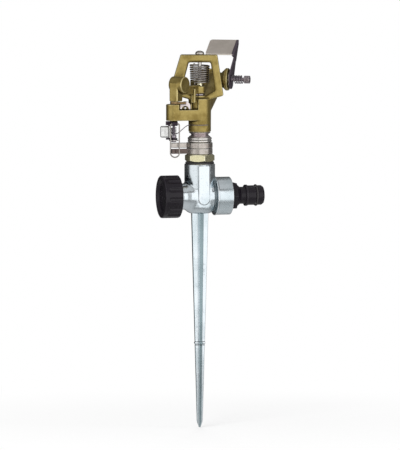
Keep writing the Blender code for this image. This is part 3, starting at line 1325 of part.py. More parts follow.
def make_trip(head):
    axis = new_empty("trip_axis", head, (TRIP_X, TRIP_Y, 0))
    steel = ((0.60, 0.58, 0.55), 0.3, 1.0)
    dark = ((0.08, 0.07, 0.08), 0.4, 0.8)
    pin_radius = TRIP_PIN_DIAMETER / 2
    head_low = BLOCK_Z - TRIP_PIN_BELOW_BLOCK
    head_high = head_low + TRIP_PIN_HEAD
    finger_z = BLOCK_TOP_Z + FIT
    pin = turned(
        "trip_pin",
        [
            (0, finger_z + FINGER_THICKNESS),
            (pin_radius, finger_z + FINGER_THICKNESS),
            (pin_radius, head_high),
            (TRIP_PIN_HEAD_DIAMETER / 2, head_high),
            (TRIP_PIN_HEAD_DIAMETER / 2, head_low),
            (0, head_low),
        ],
        16,
    )
    keep(pin, dark, axis)
    washer_z = head_high + FIT
    ring = washer("trip_washer", TRIP_HOLE_RADIUS, TRIP_WASHER_DIAMETER / 2, washer_z, TRIP_WASHER)
    keep(ring, steel, axis)

    hub_high = BLOCK_Z - FIT
    hub_low = hub_high - TRIP_HUB_HEIGHT
    web_high = hub_high - FIT
    foot_low = washer_z + TRIP_WASHER + FIT
    foot_high = foot_low + TRIP_FOOT
    lever = rod("trip_lever", TRIP_HUB_DIAMETER / 2, hub_low, hub_high)
    foot_hub = rod("trip_foot_hub", TRIP_HUB_DIAMETER / 2, foot_low, foot_high)
    side = TRIP_WEIGHT_WIDTH / 2
    weight_low = foot_high + TRIP_WEIGHT_ABOVE_FOOT
    weight_high = hub_low - FIT
    web = box("trip_web", (-TRIP_WEIGHT_FAR, -side / 2, web_high - TRIP_WEB), (FIT, side / 2, web_high))
    block = box(
        "trip_weight",
        (-TRIP_WEIGHT_FAR, -side, weight_low),
        (-TRIP_WEIGHT_NEAR, side, weight_high),
        TRIP_WEIGHT_ROUND,
    )
    strip_side = TRIP_STRIP_WIDTH / 2
    strip = box(
        "trip_strip",
        (-TRIP_WEIGHT_NEAR - FIT * 2, -strip_side, (foot_low + foot_high) / 2),
        (-TRIP_STRIP_NEAR, strip_side, web_high - TRIP_WEB / 2),
    )
    foot_plate = box(
        "trip_foot_plate",
        (-TRIP_FOOT_FAR, -strip_side - FIT, foot_low + FIT / 2),
        (FIT, strip_side + FIT, foot_high - FIT / 2),
    )
    wire_z = (hub_low + web_high) / 2
    lug_front = -TRIP_WIRE_FORWARD - TRIP_WIRE_DIAMETER - FIT
    lug = box("trip_lug", (-TRIP_LUG_LEFT, lug_front, hub_low + FIT), (TRIP_LUG_RIGHT, FIT, web_high - FIT))
    lug_hole = rod(
        "lug_hole", TRIP_WIRE_DIAMETER / 2 + FIT, -TRIP_LUG_LEFT - LOOSE, TRIP_LUG_RIGHT + LOOSE, 12
    )
    put(lug_hole, (0, -TRIP_WIRE_FORWARD, wire_z), (0, math.pi / 2, 0), axis)
    bore = rod("lever_bore", TRIP_HOLE_RADIUS, foot_low - LOOSE, hub_high + LOOSE, 14)
    for tool in (web, block, strip, foot_plate, foot_hub, lug, bore):
        tool.parent = axis
    boolean(lever, "UNION", web, block, strip, foot_plate, foot_hub, lug)
    boolean(lever, "DIFFERENCE", bore, lug_hole)
    keep(lever, steel, axis)

    thick = TRIP_WIRE_DIAMETER
    bend = (TRIP_WIRE_RIGHT - TRIP_WIRE_LEFT) / 2
    middle = (TRIP_WIRE_RIGHT + TRIP_WIRE_LEFT) / 2
    bottom_z = wire_z - TRIP_WIRE_DROP + bend
    wire_y = -TRIP_WIRE_FORWARD
    ends = ((TRIP_WIRE_ENTRY - TRIP_LUG_LEFT, wire_z), (TRIP_LUG_RIGHT - TRIP_WIRE_ENTRY, wire_z))
    knee = thick * 0.6
    left = [(TRIP_WIRE_LEFT + knee, wire_z), (TRIP_WIRE_LEFT, wire_z - knee)]
    right = [(TRIP_WIRE_RIGHT, wire_z - knee), (TRIP_WIRE_RIGHT - knee, wire_z)]
    loop = arc((middle, bottom_z), bend, 180, 360, 11)
    path = [(x, wire_y, z) for x, z in [ends[0], *left, *loop, *right, ends[1]]]
    keep(wire("trip_wire", path, thick, 2), steel, axis)

    finger_hub = rod("trip_finger", TRIP_HUB_DIAMETER / 2, finger_z, finger_z + FINGER_THICKNESS)
    low_side = -FINGER_FORWARD - FINGER_WIDTH / 2
    high_side = low_side + FINGER_WIDTH
    finger_arm = box(
        "finger_arm",
        (FIT, low_side, finger_z),
        (FINGER_REACH, high_side, finger_z + FINGER_THICKNESS - FIT),
    )
    arch_low = POCKET_Z + ARCH_FOOT_CLEAR
    arch_middle = arch_low + ARCH_HEIGHT - ARCH_HALF
    arch_outline = [
        (ARCH_CENTRE - ARCH_HALF, arch_low),
        *arc((ARCH_CENTRE, arch_low), ARCH_NOTCH, 180, 0, 9),
        (ARCH_CENTRE + ARCH_HALF, arch_low),
        *arc((ARCH_CENTRE, arch_middle), ARCH_HALF, 0, 180, 11),
    ]
    arch = plate("finger_arch", [arch_outline], ARCH_THICKNESS)
    put(arch, (0, -ARCH_FORWARD + ARCH_THICKNESS, 0), (math.pi / 2, 0, 0), axis)
    finger_bore = rod("finger_bore", TRIP_HOLE_RADIUS, finger_z - LOOSE, finger_z + 2 * FINGER_THICKNESS, 16)
    for tool in (finger_arm, finger_bore):
        tool.parent = axis
    boolean(finger_hub, "UNION", finger_arm, arch)
    boolean(finger_hub, "DIFFERENCE", finger_bore)
    keep(finger_hub, ((0.80, 0.74, 0.74), 0.4, 0.2), axis)

    thin = TRIP_SPRING_WIRE
    radius = TRIP_HOLE_RADIUS + FIT + thin / 2
    spacer_low = foot_high + FIT
    spacer_high = spacer_low + TRIP_SPACER
    spacer = washer("trip_spacer", TRIP_HOLE_RADIUS, TRIP_SPACER_DIAMETER / 2, spacer_low, TRIP_SPACER)
    keep(spacer, dark, axis)
    low = spacer_high + FIT + thin / 2
    high = hub_low - FIT - thin * 1.5
    skirt_radius = SKIRT_DIAMETER / 2 + FIT + thin / 2
    skirt_z = SKIRT_Z + SKIRT_HEIGHT * TRIP_SPRING_SKIRT_SHARE
    touch = math.radians(215)
    points = coil(TRIP_SPRING_CURLS, radius, radius, high, low, math.radians(281))
    report_gap("trip_spring", points, thin, math.pi * radius)
    leg = [
        (skirt_radius * math.cos(angle) - TRIP_X, skirt_radius * math.sin(angle) - TRIP_Y, skirt_z)
        for angle in np.linspace(touch, touch + TRIP_SPRING_WRAP, 9)
    ]
    tail = (*points[0][:2], hub_low - FIT)
    keep(wire("trip_spring", [tail, *points, *leg], thin), dark, axis)


def main():
    clear_scene()
    new_collection(PARTS)
    new_collection(CUTTERS)
    head = new_empty("head_axis", turn=HEAD_TURN)
    flow = new_empty("flow_axis", head, turn=FLOW_TURN)
    make_spike_tee()
    make_cap()
    make_connector()
    make_bearing(head)
    make_collar("lower_collar", LOWER_RING_Z, LOWER_TAB_AZIMUTH)
    make_collar("upper_collar", UPPER_RING_Z, UPPER_TAB_AZIMUTH)
    make_head_body(head, flow)
    make_fulcrum(head)
    make_arm(flow)
    make_flap(flow)
    make_trip(head)


main()
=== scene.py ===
"""Impulse sprinkler on a spike: every piece dressed, in the frame of its solids.

Metres, +Z up, origin on the riser axis at the soil line, +X towards the hose connector.
The head frame is turned about the riser axis, and the flow frame is turned again on it, so
that the flow's +X is the way the water leaves and its +Y is the left of the stream.
"""

import json
import math
from functools import partial
from itertools import product

import bpy
import numpy as np
from bpy.props import FloatProperty, FloatVectorProperty, IntProperty, PointerProperty
from mathutils import Euler, Matrix, Vector

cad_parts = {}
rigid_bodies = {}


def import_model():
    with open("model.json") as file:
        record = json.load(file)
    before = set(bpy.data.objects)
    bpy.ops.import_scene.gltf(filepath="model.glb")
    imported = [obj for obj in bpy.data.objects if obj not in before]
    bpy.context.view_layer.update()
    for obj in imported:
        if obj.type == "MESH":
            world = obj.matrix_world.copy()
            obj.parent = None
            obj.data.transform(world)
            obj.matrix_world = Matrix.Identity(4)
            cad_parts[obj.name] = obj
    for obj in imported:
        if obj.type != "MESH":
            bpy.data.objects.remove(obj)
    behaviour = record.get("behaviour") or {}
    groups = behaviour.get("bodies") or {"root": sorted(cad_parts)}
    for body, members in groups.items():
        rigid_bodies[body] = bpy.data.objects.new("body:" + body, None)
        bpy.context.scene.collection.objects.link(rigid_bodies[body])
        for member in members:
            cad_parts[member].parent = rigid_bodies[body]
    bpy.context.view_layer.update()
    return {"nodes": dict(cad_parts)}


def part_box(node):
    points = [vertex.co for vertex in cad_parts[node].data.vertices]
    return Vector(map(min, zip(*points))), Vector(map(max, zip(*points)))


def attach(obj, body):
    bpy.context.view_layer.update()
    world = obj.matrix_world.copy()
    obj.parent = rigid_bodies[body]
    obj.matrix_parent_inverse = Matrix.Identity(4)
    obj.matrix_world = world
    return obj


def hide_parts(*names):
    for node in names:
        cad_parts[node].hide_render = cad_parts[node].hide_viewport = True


bl_info = {
    "name": "Impulse Sprinkler",
    "version": (1, 0, 0),
    "blender": (4, 5, 0),
    "location": "3D View > Sidebar > Sprinkler",
    "description": "Builds the castings, fittings, springs and sheet parts of an impulse sprinkler",
    "category": "Add Mesh",
}

for startup_object in list(bpy.data.objects):
    bpy.data.objects.remove(startup_object, do_unlink=True)
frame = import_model()

MM = 0.001
FIT = 0.3 * MM
FAR_INSIDE = -0.05
RIM = 0.3 * MM

# The round that counts as the sharpest edge, and how far out a surface looks for open air.
SHARPEST = 0.9 * MM
AIR_REACHES = (0.8 * MM, 2 * MM, 4.5 * MM)

# Sizes that several pieces share.
PIN_HOLE = 1.9 * MM
COVER_BORE = 6.6 * MM
POCKET_DEPTH = 11.5 * MM
STOP_REACH = 9.7 * MM
NOZZLE_LIP = 2 * MM
WEB_HEIGHT = 7.2 * MM
HUB_HEIGHT = 4.1 * MM
DISC = 0.7 * MM
SCREW_SPRING = 9.4 * MM
BAIL_Y = -5.5 * MM

PICTURE_PIXELS = 450

# What a finish takes where it gives no amount of its own.
AMOUNTS = {
    "metallic": 1.0,
    "rough": 0.35,
    "specular": 0.5,
    "reach": 1.2,
    "grain": 2600,
    "pits": 700,
    "patches": 60,
    "lines": 9000,
    "patchy": 0.4,
    "mottle": 0.15,
    "specks": 0.25,
    # How far hollows darken: painted shade as well as dirt.
    "shade_and_grime": 0.7,
    "wear": 0.6,
    "grain_depth": 0.05,
    "line_depth": 0.0,
    "mark_depth": 0.02,
    "mark_shine": 0.35,
    "patch_dull": 0.12,
    "grime_dull": 0.25,
    "wear_gloss": 0.1,
    "line_dull": 0.03,
}


def length(name, description, default):
    return FloatProperty(
        name=name, description=description, default=default, min=0, unit="LENGTH", precision=5
    )


def height(name, description, default):
    return FloatProperty(
        name=name, description=description, default=default, unit="LENGTH", precision=5
    )


def angle(name, description, degrees):
    return FloatProperty(
        name=name, description=description, default=math.radians(degrees), unit="ROTATION"
    )


def colour(name, description, default):
    return FloatVectorProperty(
        name=name, description=description, default=default, min=0, max=1, size=3, subtype="COLOR"
    )


def top_of(node):
    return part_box(node)[1].z


def foot_of(node):
    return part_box(node)[0].z


class SPRINKLER_PG_base(bpy.types.PropertyGroup):
    """Sizes of what stands still: the spike, the tee, its cap and its hose connector."""

    spike_length: length("Spike length", "From the soil line to the point", 0.1817)
    spike_top: length("Spike top width", "Across two ribs at the soil line", 0.0144)
    spike_end: length("Spike end width", "Across two ribs above the point", 0.0050)
    rib_top: length("Rib thickness", "Thickness of a rib at the soil line", 0.0036)
    rib_end: length("Rib end thickness", "Thickness of a rib above the point", 0.0018)
    band_depth: length("Band depth", "Depth of the raised band below the soil line", 0.1100)
    riser: length("Riser", "Outside diameter of the riser", 0.0259)
    tee_top: height("Tee top", "Height of the riser's mouth", top_of("spike_tee"))
    hull: length("Hull height", "Height of the rounded foot of the riser", 0.0072)
    pipe_height: height("Pipe height", "Height of the cross pipe's axis", 0.0143)
    pipe: length("Pipe", "Outside diameter of the cross pipe", 0.0212)
    collar: length("Pipe collar", "Outside diameter of the collar on the pipe", 0.0320)
    collar_start: length("Collar start", "Distance of the collar from the riser axis", 0.0122)
    collar_end: length("Collar end", "Distance of the collar's face from the riser axis", 0.0260)
    stub: length("Stub", "Outside diameter of the pipe's other end", 0.0264)
    cap: length("Cap", "Outside diameter of the outlet cap", 0.0360)
    cap_start: length("Cap start", "Distance of the cap's skirt from the riser axis", 0.0186)
    cap_end: length("Cap end", "Distance of the cap's rim from the riser axis", 0.0340)
    flutes: IntProperty(name="Flutes", description="Grips round the cap", default=14, min=3)
    flute_turn: angle("Flute turn", "Turn of the grips about the cap's axis", -3.4)
    flute_reach: length("Flute length", "Length of a grip from the cap's skirt", 0.0128)
    fitting_bore: length("Fitting bore", "Bore of the hose connector", 0.0100)
    fitting_hex: length("Fitting hexagon", "Hose connector across flats", 0.0213)


class SPRINKLER_PG_bearing(bpy.types.PropertyGroup):
    """Sizes of the turning joint between the tee and the head."""

    seal: length("Seal", "Diameter of the seal on the riser", 0.0244)
    hex_flats: length("Nut", "Bearing nut across flats", 0.0222)
    hex_turn: angle("Nut turn", "Direction of one of the nut's flats", 5)
    neck: length("Nut neck", "Diameter of the neck that the stop rings turn on", 0.0160)
    ring: length("Stop ring", "Outside diameter of a stop ring", 0.0218)
    tab_reach: length("Tab reach", "Distance of a tab's end from the riser axis", 0.0245)
    tab_width: length("Tab width", "Width of a stop ring's tab", 0.0050)
    low_tab: angle("Lower tab", "Direction of the lower ring's tab", 178)
    high_tab: angle("Upper tab", "Direction of the upper ring's tab", 168)
    washer: length("Neck washer", "Diameter of the two washers above the nut", 0.0203)
    cover_mouth: length("Cover mouth", "Diameter of the spring cover's ends", 0.0184)
    cover_waist: length("Cover waist", "Diameter of the spring cover's middle", 0.0146)


class SPRINKLER_PG_head(bpy.types.PropertyGroup):
    """Sizes of the cast head."""

    turn: angle("Head turn", "Turn of the head about the riser axis", -15)
    flow: angle("Flow turn", "Turn of the stream on the head", 77.5)
    skirt: length("Skirt", "Diameter of the round body", 0.0190)
    block_low: height("Block foot", "Height of the trip bracket's underside", 0.0789)
    block_high: height("Block top", "Height of the trip bracket's top", 0.0927)
    barrel_height: height("Barrel start", "Height at which the barrel's axis starts", 0.0852)
    barrel_rise: angle("Barrel rise", "Slope of the barrel", 20)
    barrel_length: length("Barrel length", "Along the barrel's axis", 0.0690)
    barrel_root: length("Barrel root", "Diameter of the barrel at the body", 0.0160)
    barrel_tip: length("Barrel tip", "Diameter of the barrel below its lip", 0.0150)
    screw_reach: length("Screw reach", "Distance of the screw's axis along the flow", 0.0548)
    screw_height: height("Screw height", "Height of the screw's axis", 0.109746)
    seat: height("Pin seat", "Height of the arm's seat", 0.0995)
    window_top: height("Window top", "Height of the bridge's opening", 0.1276)
    bridge_top: height("Bridge top", "Height of the bridge", top_of("head_body"))
    bridge_depth: length("Bridge depth", "Front to back of the bridge", 0.0080)
    cast_edge: length("Cast edge", "Rounding of the castings' edges", 0.0006)
    cast_fillet: length("Cast fillet", "Rounding where two forms of a casting meet", 0.0016)
    cast_step: length("Cast fineness", "Mesh step of the castings", 0.00042)


class SPRINKLER_PG_arm(bpy.types.PropertyGroup):
    """Sizes of the swinging arm, its pin and its spring."""

    foot: height("Arm foot", "Height of the arm's underside", 0.1015)
    hub: length("Arm hub", "Diameter of the arm's hub", 0.0092)
    front: angle("Weight turn", "Direction of the counterweight from the flow", 157.5)
    offset: length("Beam offset", "How far left of the stream the beam runs", 0.0140)
    beam: length("Beam width", "Thickness of the beam", 0.0040)
    spoon: length("Spoon height", "Height of the spoon's wall", 0.0136)
    pin: length("Pin", "Diameter of the arm's pin", 0.0032)
    spring_wire: length("Spring wire", "Wire of the arm spring", 0.00142)
    spring_foot: length("Spring foot", "Outside diameter of the arm spring at its foot", 0.0164)
    spring_top: length("Spring top", "Outside diameter of the arm spring at its top", 0.0176)
    spring_curls: IntProperty(name="Spring curls", description="Curls of the arm spring", default=8)


class SPRINKLER_PG_flap(bpy.types.PropertyGroup):
    """Sizes of the deflector flap and the diffuser screw."""

    sheet: length("Sheet", "Thickness of the flap", 0.0011)
    out: length("Flap place", "Distance of the flap right of the stream", 0.0145)
    ahead: length("Fold start", "Start of the fold ahead of the screw", 0.0067)
    above: length("Fold height", "Start of the fold above the screw", 0.0200)
    fold: length("Fold length", "Length of the fold", 0.0238)
    slope: angle("Fold slope", "Rise of the fold along the stream", 27.6)
    width: length("Flap width", "Width of the flap's top", 0.0245)
    knob: length("Knob", "Diameter of the diffuser screw's head", 0.0066)
    spring: length("Screw spring", "Outside diameter of the diffuser spring", 0.0074)


class SPRINKLER_PG_trip(bpy.types.PropertyGroup):
    """Sizes of the trip lever and its bail wire, on an axis beside the head."""

    x: height("Trip X", "Place of the trip's axis across the head", -0.0219)
    y: height("Trip Y", "Place of the trip's axis along the head", -0.0085)
    pin: length("Trip pin", "Diameter of the trip's pin", 0.0022)
    hub: length("Trip hub", "Diameter of the trip's hubs", 0.0062)
    weight_near: length("Weight start", "Near side of the weight from the axis", 0.0042)
    weight_far: length("Weight end", "Far side of the weight from the axis", 0.0114)
    weight_width: length("Weight width", "Front to back of the weight", 0.0068)
    wire: length("Bail wire", "Diameter of the bail wire", 0.0011)
    wire_left: height("Bail left", "Left leg of the bail from the axis", -0.0027)
    wire_right: height("Bail right", "Right leg of the bail from the axis", 0.0047)
    wire_drop: length("Bail drop", "Height of the bail", 0.0282)


class SPRINKLER_PG_colours(bpy.types.PropertyGroup):
    """Clean colours of the finishes."""

    zinc: colour("Zinc", "Die-cast spike and tee", (0.78, 0.84, 0.88))
    brass: colour("Cast brass", "Head and arm", (0.40, 0.31, 0.105))
    nut: colour("Turned brass", "Bearing nut", (0.88, 0.83, 0.54))
    steel: colour("Steel", "Springs, pins and rings", (0.54, 0.50, 0.46))
    sheet: colour("Sheet steel", "Deflector flap", (0.60, 0.545, 0.475))
    dark: colour("Dark steel", "Screw and trip parts", (0.13, 0.10, 0.13))
    plastic: colour("Plastic", "Cap and hose connector", (0.007, 0.0055, 0.008))
    rubber: colour("Rubber", "Seals and gaskets", (0.018, 0.017, 0.019))
    pale: colour("Pale metal", "Trip latch", (0.80, 0.72, 0.72))


class SPRINKLER_PG_stage(bpy.types.PropertyGroup):
    """Camera, lamps and floor."""

    azimuth: angle("Azimuth", "Direction of the camera, left of the front", -15)
    elevation: angle("Elevation", "Height of the camera above the horizon", 4.5)
    distance: length("Distance", "From the camera to the sprinkler", 12.0)
    picture: length("Picture height", "What the picture's long side takes in", 0.38025)
    floor: height("Floor", "Height of the floor", foot_of("spike_tee") - 0.0004)
    key: FloatProperty(name="Key lamp", description="Power", default=16, unit="POWER")
    fill: FloatProperty(name="Fill lamp", description="Power", default=6, unit="POWER")
    world: FloatProperty(name="World", description="Strength of the room's light", default=0.9)


def place(location=(0, 0, 0), rotation=(0, 0, 0), within=None):
    """Matrix of a place: it is moved, then turned, inside the place that holds it."""
    made = Matrix.Translation(Vector(location)) @ Euler(rotation).to_matrix().to_4x4()
    made = np.array(made)
    return made if within is None else within @ made


def seen_from(spot, points):
    """The points' own x, y and z in a place, as three arrays."""
    local = (points - spot[:3, 3]) @ spot[:3, :3]
    return local[:, 0], local[:, 1], local[:, 2]


def unit(vectors):
    size = np.linalg.norm(vectors, axis=-1, keepdims=True)
    return vectors / np.maximum(size, 1e-12)


def head_place():
    return place(rotation=(0, 0, bpy.context.scene.sprinkler_head.turn))


def flow_place():
    return place(rotation=(0, 0, bpy.context.scene.sprinkler_head.flow), within=head_place())


def barrel_place():
    head = bpy.context.scene.sprinkler_head
    aim = (0, math.pi / 2 - head.barrel_rise, 0)
    return place((0, 0, head.barrel_height), aim, flow_place())


def screw_place():
    """On the diffuser screw's axis, with Z out to the right of the stream and Y up."""
    head = bpy.context.scene.sprinkler_head
    return place((head.screw_reach, 0, head.screw_height), (math.pi / 2, 0, 0), flow_place())


def trip_place():
    trip = bpy.context.scene.sprinkler_trip
    return place((trip.x, trip.y, 0), within=head_place())


def arc(centre, radius, start, end, count):
    """Points on a circle from one angle to another, in degrees."""
    turn = np.radians(np.linspace(start, end, count))
    return np.stack([centre[0] + radius * np.cos(turn), centre[1] + radius * np.sin(turn)], axis=1)


def rounded(corners, radius, closed=True, count=5):
    """The line through the corners, each corner cut by an arc that touches both of its sides.

    The arc's middle lies on the corner's bisector, radius / sin(half the angle) from it.
    An arc takes at most half of the shorter side, and an open line keeps its two ends.
    """
    here = np.array(corners, float)
    before = np.roll(here, 1, axis=0) - here
    after = np.roll(here, -1, axis=0) - here
    shorter = np.minimum(np.linalg.norm(before, axis=1), np.linalg.norm(after, axis=1))
    before, after = unit(before), unit(after)
    half = np.arccos(np.clip((before * after).sum(axis=1), -1, 1)) / 2
    half = np.clip(half, 0.05, math.pi / 2)
    size = np.minimum(radius, 0.49 * shorter * np.tan(half))
    if not closed:
        size[0] = size[-1] = 0
    middle = here + unit(before + after) * (size / np.sin(half))[:, None]
    reach = (size / np.tan(half))[:, None]
    start = here + before * reach - middle
    end = here + after * reach - middle
    share = np.linspace(0, 1, count)[None, :, None]
    spokes = unit(start[:, None] * (1 - share) + end[:, None] * share) * size[:, None, None]
    line = (middle[:, None] + spokes).reshape(-1, 2)
    apart = np.linalg.norm(line - np.roll(line, 1, axis=0), axis=1)
    apart[0] = 1
    return line[apart > 1e-7]


def piece(name, surface, body, node, look):
    """Makes an object of (points, [faces], marks) that rides on a body in a node's place.

    Each mark is one value per point, which the finishes read: along, cavity or second.
    """
    points, face_lists, marks = surface
    mesh = bpy.data.meshes.new(name)
    mesh.vertices.add(len(points))
    mesh.vertices.foreach_set("co", np.asarray(points, np.float32).ravel())
    loops = np.concatenate([faces.ravel() for faces in face_lists]).astype(np.int32)
    sizes = np.concatenate([np.full(len(faces), faces.shape[1]) for faces in face_lists])
    mesh.loops.add(len(loops))
    mesh.loops.foreach_set("vertex_index", loops)
    mesh.polygons.add(len(sizes))
    starts = np.concatenate([[0], np.cumsum(sizes)[:-1]]).astype(np.int32)
    mesh.polygons.foreach_set("loop_start", starts)
    mesh.update(calc_edges=True)
    mesh.shade_smooth()
    for mark, values in {"edge": bends(mesh), **marks}.items():
        store = mesh.attributes.new(mark, "FLOAT", "POINT")
        store.data.foreach_set("value", np.asarray(values, np.float32))
    mesh.materials.append(finish(look))
    obj = bpy.data.objects.new(name, mesh)
    bpy.context.scene.collection.objects.link(obj)
    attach(obj, body)
    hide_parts(node)


def bends(mesh):
    """How sharply the surface bends, from -1 in a hollow to 1 on an outer edge.

    Along each edge the bend is 2 n.d / d.d, where n is the normal at one end and d runs to
    it from the other. A vertex takes the mean of its edges, evened out over its neighbours.
    """
    count = len(mesh.vertices)
    points, normals = np.empty((2, count * 3), np.float32)
    mesh.vertices.foreach_get("co", points)
    mesh.vertex_normals.foreach_get("vector", normals)
    points, normals = points.reshape(-1, 3).astype(float), normals.reshape(-1, 3)
    ends = np.empty(len(mesh.edges) * 2, np.int32)
    mesh.edges.foreach_get("vertices", ends)
    first, second = ends.reshape(-1, 2).T

    def shared(on_first, on_second):
        return np.bincount(first, on_first, count) + np.bincount(second, on_second, count)

    way = points[second] - points[first]
    square = np.maximum((way**2).sum(axis=1), 1e-14)
    bend_first = -2 * (normals[first] * way).sum(axis=1) / square
    bend_second = 2 * (normals[second] * way).sum(axis=1) / square
    share = np.maximum(shared(np.ones(len(first)), np.ones(len(first))), 1)
    bend = shared(bend_first, bend_second) / share
    for _ in range(2):
        bend = (bend + shared(bend[second], bend[first]) / share) / 2
    return np.clip(bend * SHARPEST, -1, 1)


def grid_quads(rows, columns, wrap_rows=False):
    """Quads between neighbours of a grid whose columns close on themselves."""
    last = rows if wrap_rows else rows - 1
    upper = np.arange(last)[:, None] * columns
    lower = (np.arange(1, last + 1) % rows)[:, None] * columns
    here = np.arange(columns)[None]
    after = (here + 1) % columns
    quads = np.stack([upper + here, lower + here, lower + after, upper + after], axis=-1)
    return quads.reshape(-1, 4)


def fan(centre, start, count):
    """Triangles from one point to a ring of points whose numbers follow each other."""
    step = np.arange(count)
    return np.stack([np.full(count, centre), start + step, start + (step + 1) % count], axis=1)


def capped(rings, first, last):
    """Rings of points joined by quads, and closed at each end by triangles to one point."""
    rows, columns = rings.shape[:2]
    count = rows * columns
    points = np.concatenate([rings.reshape(-1, 3), [first, last]])
    foot = fan(count + 1, count - columns, columns)[:, ::-1]
    return points, [grid_quads(rows, columns), fan(count, 0, columns), foot]


def run_of(line):
    """How far along a line each of its points is."""
    return np.concatenate([[0], np.cumsum(np.linalg.norm(np.diff(line, axis=0), axis=1))])


def circle(steps):
    return np.linspace(0, 2 * math.pi, steps, endpoint=False)[None]


def lathe(profile, spot, steps=96, ring=False, shape=None):
    """A profile of (radius, height) turned about a place's Z, running down the outside.

    A point is (r cos t, r sin t, h), for t round the circle and (r, h) along the profile.
    shape, where given, makes r from (r, t, h). A ring's profile closes on itself, and any
    other starts and ends on the axis, at one point that closes its face.
    """
    profile = np.asarray(profile, float)
    body = profile if ring else profile[1:-1]
    turn = circle(steps)
    up = np.repeat(body[:, 1:], steps, axis=1)
    radius = np.repeat(body[:, :1], steps, axis=1)
    if shape:
        radius = shape(radius, turn, up)
    rings = np.stack([radius * np.cos(turn), radius * np.sin(turn), up], axis=-1)
    run = np.repeat(run_of(body), steps)
    if ring:
        points, faces = rings.reshape(-1, 3), [grid_quads(len(body), steps, True)]
    else:
        points, faces = capped(rings, [0, 0, profile[0, 1]], [0, 0, profile[-1, 1]])
        run = np.append(run, [0, run[-1]])
    return to_world(spot, points), faces, {"along": run}


def tube(path, radius, sides=16):
    """A round wire: a circle carried along a path without twisting, with domed ends.

    A point is p + r (n cos t + b sin t), where n is kept at right angles to the path by
    taking away its part along each new direction, and b is the direction crossed with n.
    """
    path = np.asarray(path, float)
    way = unit(np.gradient(path, axis=0))
    dome_rise = radius * np.array([0, 0.25, 0.75])
    dome_size = np.array([0.55, 0.85, 1.0])
    start = path[0] + way[0] * dome_rise[:, None]
    end = path[-1] - way[-1] * dome_rise[::-1, None]
    centres = np.concatenate([start, path[1:-1], end])
    ways = np.concatenate([np.repeat(way[:1], 3, 0), way[1:-1], np.repeat(way[-1:], 3, 0)])
    sizes = radius * np.concatenate([dome_size, np.ones(len(path) - 2), dome_size[::-1]])
    side = np.cross(ways[0], [0.3, 0.5, 0.8])
    across = []
    for direction in ways:
        side = unit(side - direction * (side @ direction))
        across.append(side)
    turn = circle(sides)[..., None]
    rings = np.array(across)[:, None] * np.cos(turn) + np.cross(ways, across)[:, None] * np.sin(turn)
    rings = centres[:, None] + rings * sizes[:, None, None]
    points, faces = capped(rings, path[0], path[-1])
    run = np.repeat(run_of(centres), sides)
    return points, [part[:, ::-1] for part in faces], {"along": np.append(run, [0, run[-1]])}


def divided(line, step, closed=False):
    """The line, with points added where two of its points are further apart than a step."""
    fine = []
    for start, end in zip(line, np.roll(line, -1, axis=0) if closed else line[1:]):
        parts = max(1, int(np.linalg.norm(end - start) / step))
        fine += [start + (end - start) * k / parts for k in range(parts)]
    return np.array(fine if closed else [*fine, line[-1]])


def smooth_path(points, per_span=6):
    """A curve through the points: on each span the cubic whose slope at a point is half of
    the step from the point before it to the point after it."""
    points = np.asarray(points, float)
    slope = np.gradient(points, axis=0)
    share = np.linspace(0, 1, per_span, endpoint=False)[None, :, None]
    begin, finish = points[:-1, None], points[1:, None]
    begin_slope, finish_slope = slope[:-1, None], slope[1:, None]
    square, cube = share**2, share**3
    line = (2 * cube - 3 * square + 1) * begin + (cube - 2 * square + share) * begin_slope
    line = line + (3 * square - 2 * cube) * finish + (cube - square) * finish_slope
    return np.concatenate([line.reshape(-1, points.shape[1]), points[-1:]])


def helix(curls, foot_radius, top_radius, low, high, start=0.0, per_curl=40):
    """Points (r cos t, r sin t, h), with r and h changing evenly with t."""
    share = np.linspace(0, 1, int(round(curls * per_curl)) + 1)
    turn = start + share * curls * 2 * math.pi
    radius = foot_radius + share * (top_radius - foot_radius)
    return np.stack([radius * np.cos(turn), radius * np.sin(turn), low + share * (high - low)], 1)


def evened(line, start=1, times_over=3):
    """The line with each inner point moved towards the mean of its neighbours."""
    for _ in range(times_over):
        line[start:-1] = (line[start - 1 : -2] + line[start:-1] * 2 + line[start + 1 :]) / 4
    return line


def spring_path(coil, foot_height, top_height):
    """A coil with its first and last quarter curls led down and up to flat ends."""
    share = np.linspace(0, 1, 9)[1:-1, None]
    foot = coil[0] * [1, 1, 0] + [0, 0, foot_height]
    top = coil[-1] * [1, 1, 0] + [0, 0, top_height]
    rise = foot + (coil[0] - foot) * share
    climb = coil[-1] + (top - coil[-1]) * share
    return evened(np.concatenate([[foot], rise, coil, climb, [top]]))


def to_world(spot, points):
    return np.asarray(points) @ spot[:3, :3].T + spot[:3, 3]


def slab(across, along, edge):
    """Distance to what lies within two limits, with the edge where they meet rounded."""
    across, along = across + edge, along + edge
    outside = np.hypot(np.maximum(across, 0), np.maximum(along, 0))
    return np.minimum(np.maximum(across, along), 0) + outside - edge


def between(value, low, high):
    return np.abs(value - (low + high) / 2) - (high - low) / 2


def line_distance(x, y, line):
    """Distance to a line of points: to the nearest point on its nearest side."""
    nearest = np.full(x.shape, 1.0)
    for (ax, ay), (bx, by) in zip(line, line[1:]):
        side_x, side_y = bx - ax, by - ay
        share = ((x - ax) * side_x + (y - ay) * side_y) / (side_x**2 + side_y**2)
        share = np.clip(share, 0, 1)
        off = (x - ax - side_x * share) ** 2 + (y - ay - side_y * share) ** 2
        nearest = np.minimum(nearest, off)
    return np.sqrt(nearest)


